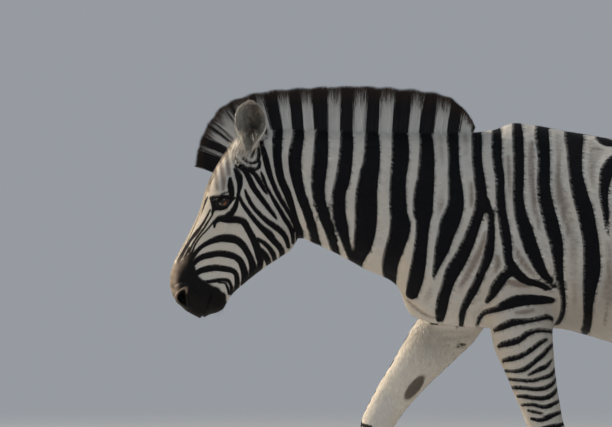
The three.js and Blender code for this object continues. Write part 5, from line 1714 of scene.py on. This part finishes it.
def coat_finish(name, hair):
    """The short coat: on the skin, where streaks stand in for hairs, and on the hairs themselves."""
    f = Finish(name, Specular_IOR_Level=0.07, Sheen_Weight=0.01, Sheen_Roughness=0.45)
    dark, faint, muzzle = f.held("marks")
    warm, bare, brown = f.held("tints")
    leg, head, up = f.held("lie")
    fawn = f.held_value("fawn")
    streak = streaks(f, 520, 55, leg, head)
    coarse = streaks(f, 150, 20, leg, head)
    cloud = f.noise((9, 9, 9), detail=3.0)
    fray = ((streak - 0.5) * (0.20 if hair else 0.55) + (coarse - 0.5) * 0.30) * (1.0 - head * 0.6)
    edge = (dark + fray).step(-0.10, 0.12)
    # warm brings in cream, part of it painted sunlight on places that face forwards.
    colour = f.mix(warm + (cloud - 0.5) * 0.5, WHITE, CREAM)
    along, _, height = f.parts(f.here())
    dust = (height + cloud * 0.3).step(0.62, 0.18) * 0.35 + (coarse - 0.5) * 0.12
    colour = f.mix(dust, colour, DUST)
    # Darker and browner low on the barrel behind the shoulder: partly dust, partly painted shade under the
    # belly.
    barrel = (height + cloud * 0.12).step(1.08, 0.74) * along.step(-0.35, 0.15) * (1.0 - leg * 0.6)
    colour = f.mix(barrel * 0.52, colour, SOIL_AND_SHADE)
    colour = f.mix((faint + fray).step(-0.45, 0.45) * 0.8, colour, FAINT)
    black = f.mix(brown * 0.9 + (cloud - 0.45) * 0.15, BLACK, BROWN)
    colour = f.mix(edge, colour, black)
    colour = f.mix((muzzle + fray * 0.8).step(0.15, 0.85), colour, MUZZLE)
    colour = f.mix(fawn + (coarse - 0.5) * 0.4 * fawn, colour, f.mix((warm - 0.35) * 0.7, FAWN, CREAM))
    colour = f.mix(bare, colour, BARE)
    light = (0.80 + streak * 0.40) * (1.0 - head * 0.12)
    if hair:
        light = light * (0.86 + up * 0.22)
    colour = f.scaled(colour, light)
    rough = f.between(bare, 0.66 - edge * 0.04 + (streak - 0.5) * 0.2, 0.5)
    if hair:
        return f.drive(Base_Color=colour, Roughness=rough)
    grain = f.noise((420, 420, 420), detail=2.0)
    relief = f.between(bare, streak * 0.7 + coarse * 0.6, grain * 0.6)
    return f.drive(Base_Color=colour, Roughness=rough, Normal=f.bump(relief, 0.0012, 0.55))


def long_finish(name):
    """Mane, tail and lashes."""
    f = Finish(name, Specular_IOR_Level=0.12)
    dark = f.held("marks")[0]
    warm = f.held("tints")[0]
    up = f.held("lie")[2]
    shade = f.held_value("shade")
    edge = (dark + (shade - 0.5) * 0.25).step(-0.08, 0.08)
    pale = f.mix(warm, WHITE, CREAM)
    pale = f.mix((up + (shade - 0.5) * 0.36).step(0.68, 0.86), pale, BROWN)
    black = f.mix(up.step(0.6, 1.0) * 0.5 + shade * 0.1, BLACK, BROWN)
    speck = f.noise((900, 900, 60))
    colour = f.scaled(f.mix(edge, pale, black), 0.78 + shade * 0.34 + (speck - 0.5) * 0.3)
    return f.drive(Base_Color=colour, Roughness=0.42 + speck * 0.25)


def eye_finish():
    f = Finish("eye", Specular_IOR_Level=0.05, Coat_Roughness=0.02, Coat_IOR=1.38)
    level, lift, _ = f.held("gaze")
    far = ((level * level) + (lift * lift * 1.25)) ** 0.5
    pupil = ((level * level) * 0.55 + (lift * lift) * 2.4) ** 0.5
    turn = f.add("ShaderNodeMath", {"operation": "ARCTAN2"}, lift, level)
    rays = f.noise((14, 1.2, 1), place=f.vector(turn, far * 0.35), detail=3.0)
    iris = f.mix(rays.step(0.3, 0.75), (0.006, 0.003, 0.002, 1), (0.026, 0.010, 0.005, 1))
    # Painted glint: an amber patch in the iris stands in for sunlight focused through the cornea.
    painted_glint = (level * -0.8 - lift * 0.5 + rays * 7.0).step(7.5, 12.0)
    iris = f.mix(painted_glint * 0.55, iris, (0.36, 0.115, 0.03, 1))
    iris = f.mix(far.step(8.6, 12.4), iris, (0.006, 0.004, 0.004, 1))
    ball = f.mix(far.step(12.2, 13.2), iris, (0.016, 0.011, 0.010, 1))
    vein = f.noise((260, 260, 260), detail=4.0).step(0.56, 0.66)
    ball = f.mix(vein * far.step(13.0, 15.0) * 0.5, ball, (0.05, 0.02, 0.016, 1))
    colour = f.mix(pupil.step(5.6, 4.9), ball, (0.004, 0.004, 0.006, 1))
    return f.drive(Base_Color=colour, Roughness=0.12 + rays * 0.1, Coat_Weight=0.85 + vein * 0.1)


def horn_finish():
    f = Finish("horn", Specular_IOR_Level=0.35)
    turn, height, _ = f.held("wall")
    grain = f.noise((1, 1, 1), place=f.vector(turn * 60, height * 0.02), detail=4.0)
    rings = f.noise((1, 1, 1), place=f.vector(turn * 0.5, height * 0.16, 3.0))
    wear = f.noise((90, 90, 90), detail=5.0)
    colour = f.mix(rings.step(0.35, 0.65), (0.028, 0.024, 0.022, 1), (0.060, 0.050, 0.043, 1))
    colour = f.mix(grain.step(0.45, 0.8) * 0.4, colour, (0.11, 0.092, 0.075, 1))
    colour = f.mix((height + wear * 16).step(18.0, 6.0) * 0.5, colour, (0.15, 0.125, 0.10, 1))
    relief = rings * 0.5 + grain * 0.4 + wear * 0.3
    return f.drive(Base_Color=colour, Roughness=0.45 + wear * 0.25, Normal=f.bump(relief, 0.0016, 0.6))


def floor_finish():
    f = Finish("floor", Specular_IOR_Level=0.1, Roughness=0.9)
    x, y, _ = f.parts(f.here())
    far = (x * x + y * y) ** 0.5
    grain = f.noise((2, 2, 2), detail=3.0)
    f.drive(Base_Color=f.mix(grain, (0.60, 0.58, 0.55, 1), (0.66, 0.64, 0.61, 1)))
    solid, clear = Wire(f, f.shader.outputs[0]), f.add("ShaderNodeBsdfTransparent", {})
    blend = f.add("ShaderNodeMixShader", {}, far.step(4.5, 8.8), solid, clear)
    f.put(blend, f.tree.nodes["Material Output"].inputs["Surface"])
    return f.material


# ---------------------------------------------------------------- the animal
def unwrapped(skin):
    """Lays the finished skin out flat, patch by patch."""
    bpy.context.view_layer.objects.active = skin
    skin.select_set(True)
    skin.data.uv_layers.new(name="OFBake")
    bpy.ops.object.mode_set(mode="EDIT")
    bpy.ops.mesh.select_all(action="SELECT")
    bpy.ops.uv.smart_project(angle_limit=math.radians(66), island_margin=0.001)
    bpy.ops.object.mode_set(mode="OBJECT")
    skin.select_set(False)


def make_animal():
    short, long = coat_finish("hair_short", True), long_finish("hair_long")
    skin = whole_skin()
    refine_skin(skin)
    add_ears(skin)
    shape_face(skin)
    shape_body(skin)
    skin.data.shade_smooth()
    unwrapped(skin)
    points, outward = places(skin.data), normals(skin.data)
    dress(skin, looks_at(points, outward))
    skin.data.materials.clear()
    skin.data.materials.append(coat_finish("coat", False))
    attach(skin, "root")
    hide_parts("head", "neck", "trunk", "ear_left", "ear_right", "tail_dock", *LEGS)
    coat = Coat(skin)
    short_coat(coat, short)
    crest_hair(coat, short)
    mane(coat, long)
    tail(coat, long)
    ear_hair(coat, long)
    lashes_and_whiskers(coat, long)
    eye, horn = eye_finish(), horn_finish()
    for side in (-1, 1):
        eyeball(side, eye)
    for name in LEGS:
        hoof(name, horn)


# ---------------------------------------------------------------- floor, light and camera
FLOOR_SIDES = 96
FLOOR_RINGS = (0.5, 2, 4, 6, 8.9)  # metres from the middle
# Lamps: place, what they point at, size in metres, power in watts, colour.
LAMPS = {
    "key": ((-5.6, 2.3, 5.2), (-0.4, 0, 1.0), 1.2, 860, (1.0, 0.91, 0.80)),
    "fill": ((-1.0, -5.0, 6.0), (0, 0, 0.9), 3.0, 100, (0.84, 0.92, 1.0)),
}
SKY, SKY_STRENGTH = (0.75, 0.80, 0.87, 1), 0.41
CAMERA_PLACE, CAMERA_TARGET, CAMERA_LENS = (-0.644, -14, 1.25), (-0.644, 0, 1.041), 280


def set_up(name, data, place, target):
    """Puts a lamp or a camera at its place and points it at its target."""
    piece = bpy.data.objects.new(name, data)
    piece.location = place
    piece.rotation_euler = (Vector(target) - Vector(place)).to_track_quat("-Z", "Y").to_euler()
    bpy.context.scene.collection.objects.link(piece)
    return piece


def make_floor():
    turn = np.arange(FLOOR_SIDES) * 2 * np.pi / FLOOR_SIDES
    circle = np.stack([np.cos(turn), np.sin(turn), 0 * turn], 1)
    rings = np.concatenate([radius * circle for radius in FLOOR_RINGS])
    k = np.arange(FLOOR_SIDES)
    following = (k + 1) % FLOOR_SIDES
    faces = [np.stack([0 * k + len(rings), k, following], 1)]
    for start in range(0, len(rings) - FLOOR_SIDES, FLOOR_SIDES):
        a, b = start + k, start + following
        c, d = a + FLOOR_SIDES, b + FLOOR_SIDES
        faces += [np.stack([a, c, d], 1), np.stack([a, d, b], 1)]
    floor = mesh_of("floor", np.vstack([rings, [[0, 0, 0]]]) - [TO_FRAME, 0, 0], np.vstack(faces))
    floor.data.materials.append(floor_finish())


def make_stage():
    make_floor()
    world = bpy.data.worlds.new("studio")
    world.use_nodes = True
    background = world.node_tree.nodes["Background"]
    background.inputs["Color"].default_value = SKY
    background.inputs["Strength"].default_value = SKY_STRENGTH
    bpy.context.scene.world = world
    bpy.context.scene.view_settings.view_transform = "Standard"
    for name, (place, target, size, power, colour) in LAMPS.items():
        lamp = bpy.data.lights.new(name, "AREA")
        lamp.shape, lamp.size, lamp.energy, lamp.color = "DISK", size, power, colour
        set_up(name, lamp, place, target)
    lens = bpy.data.cameras.new("camera")
    lens.lens, lens.sensor_width, lens.clip_end = CAMERA_LENS, 36, 200
    bpy.context.scene.camera = set_up("camera", lens, CAMERA_PLACE, CAMERA_TARGET)


make_animal()
make_stage()
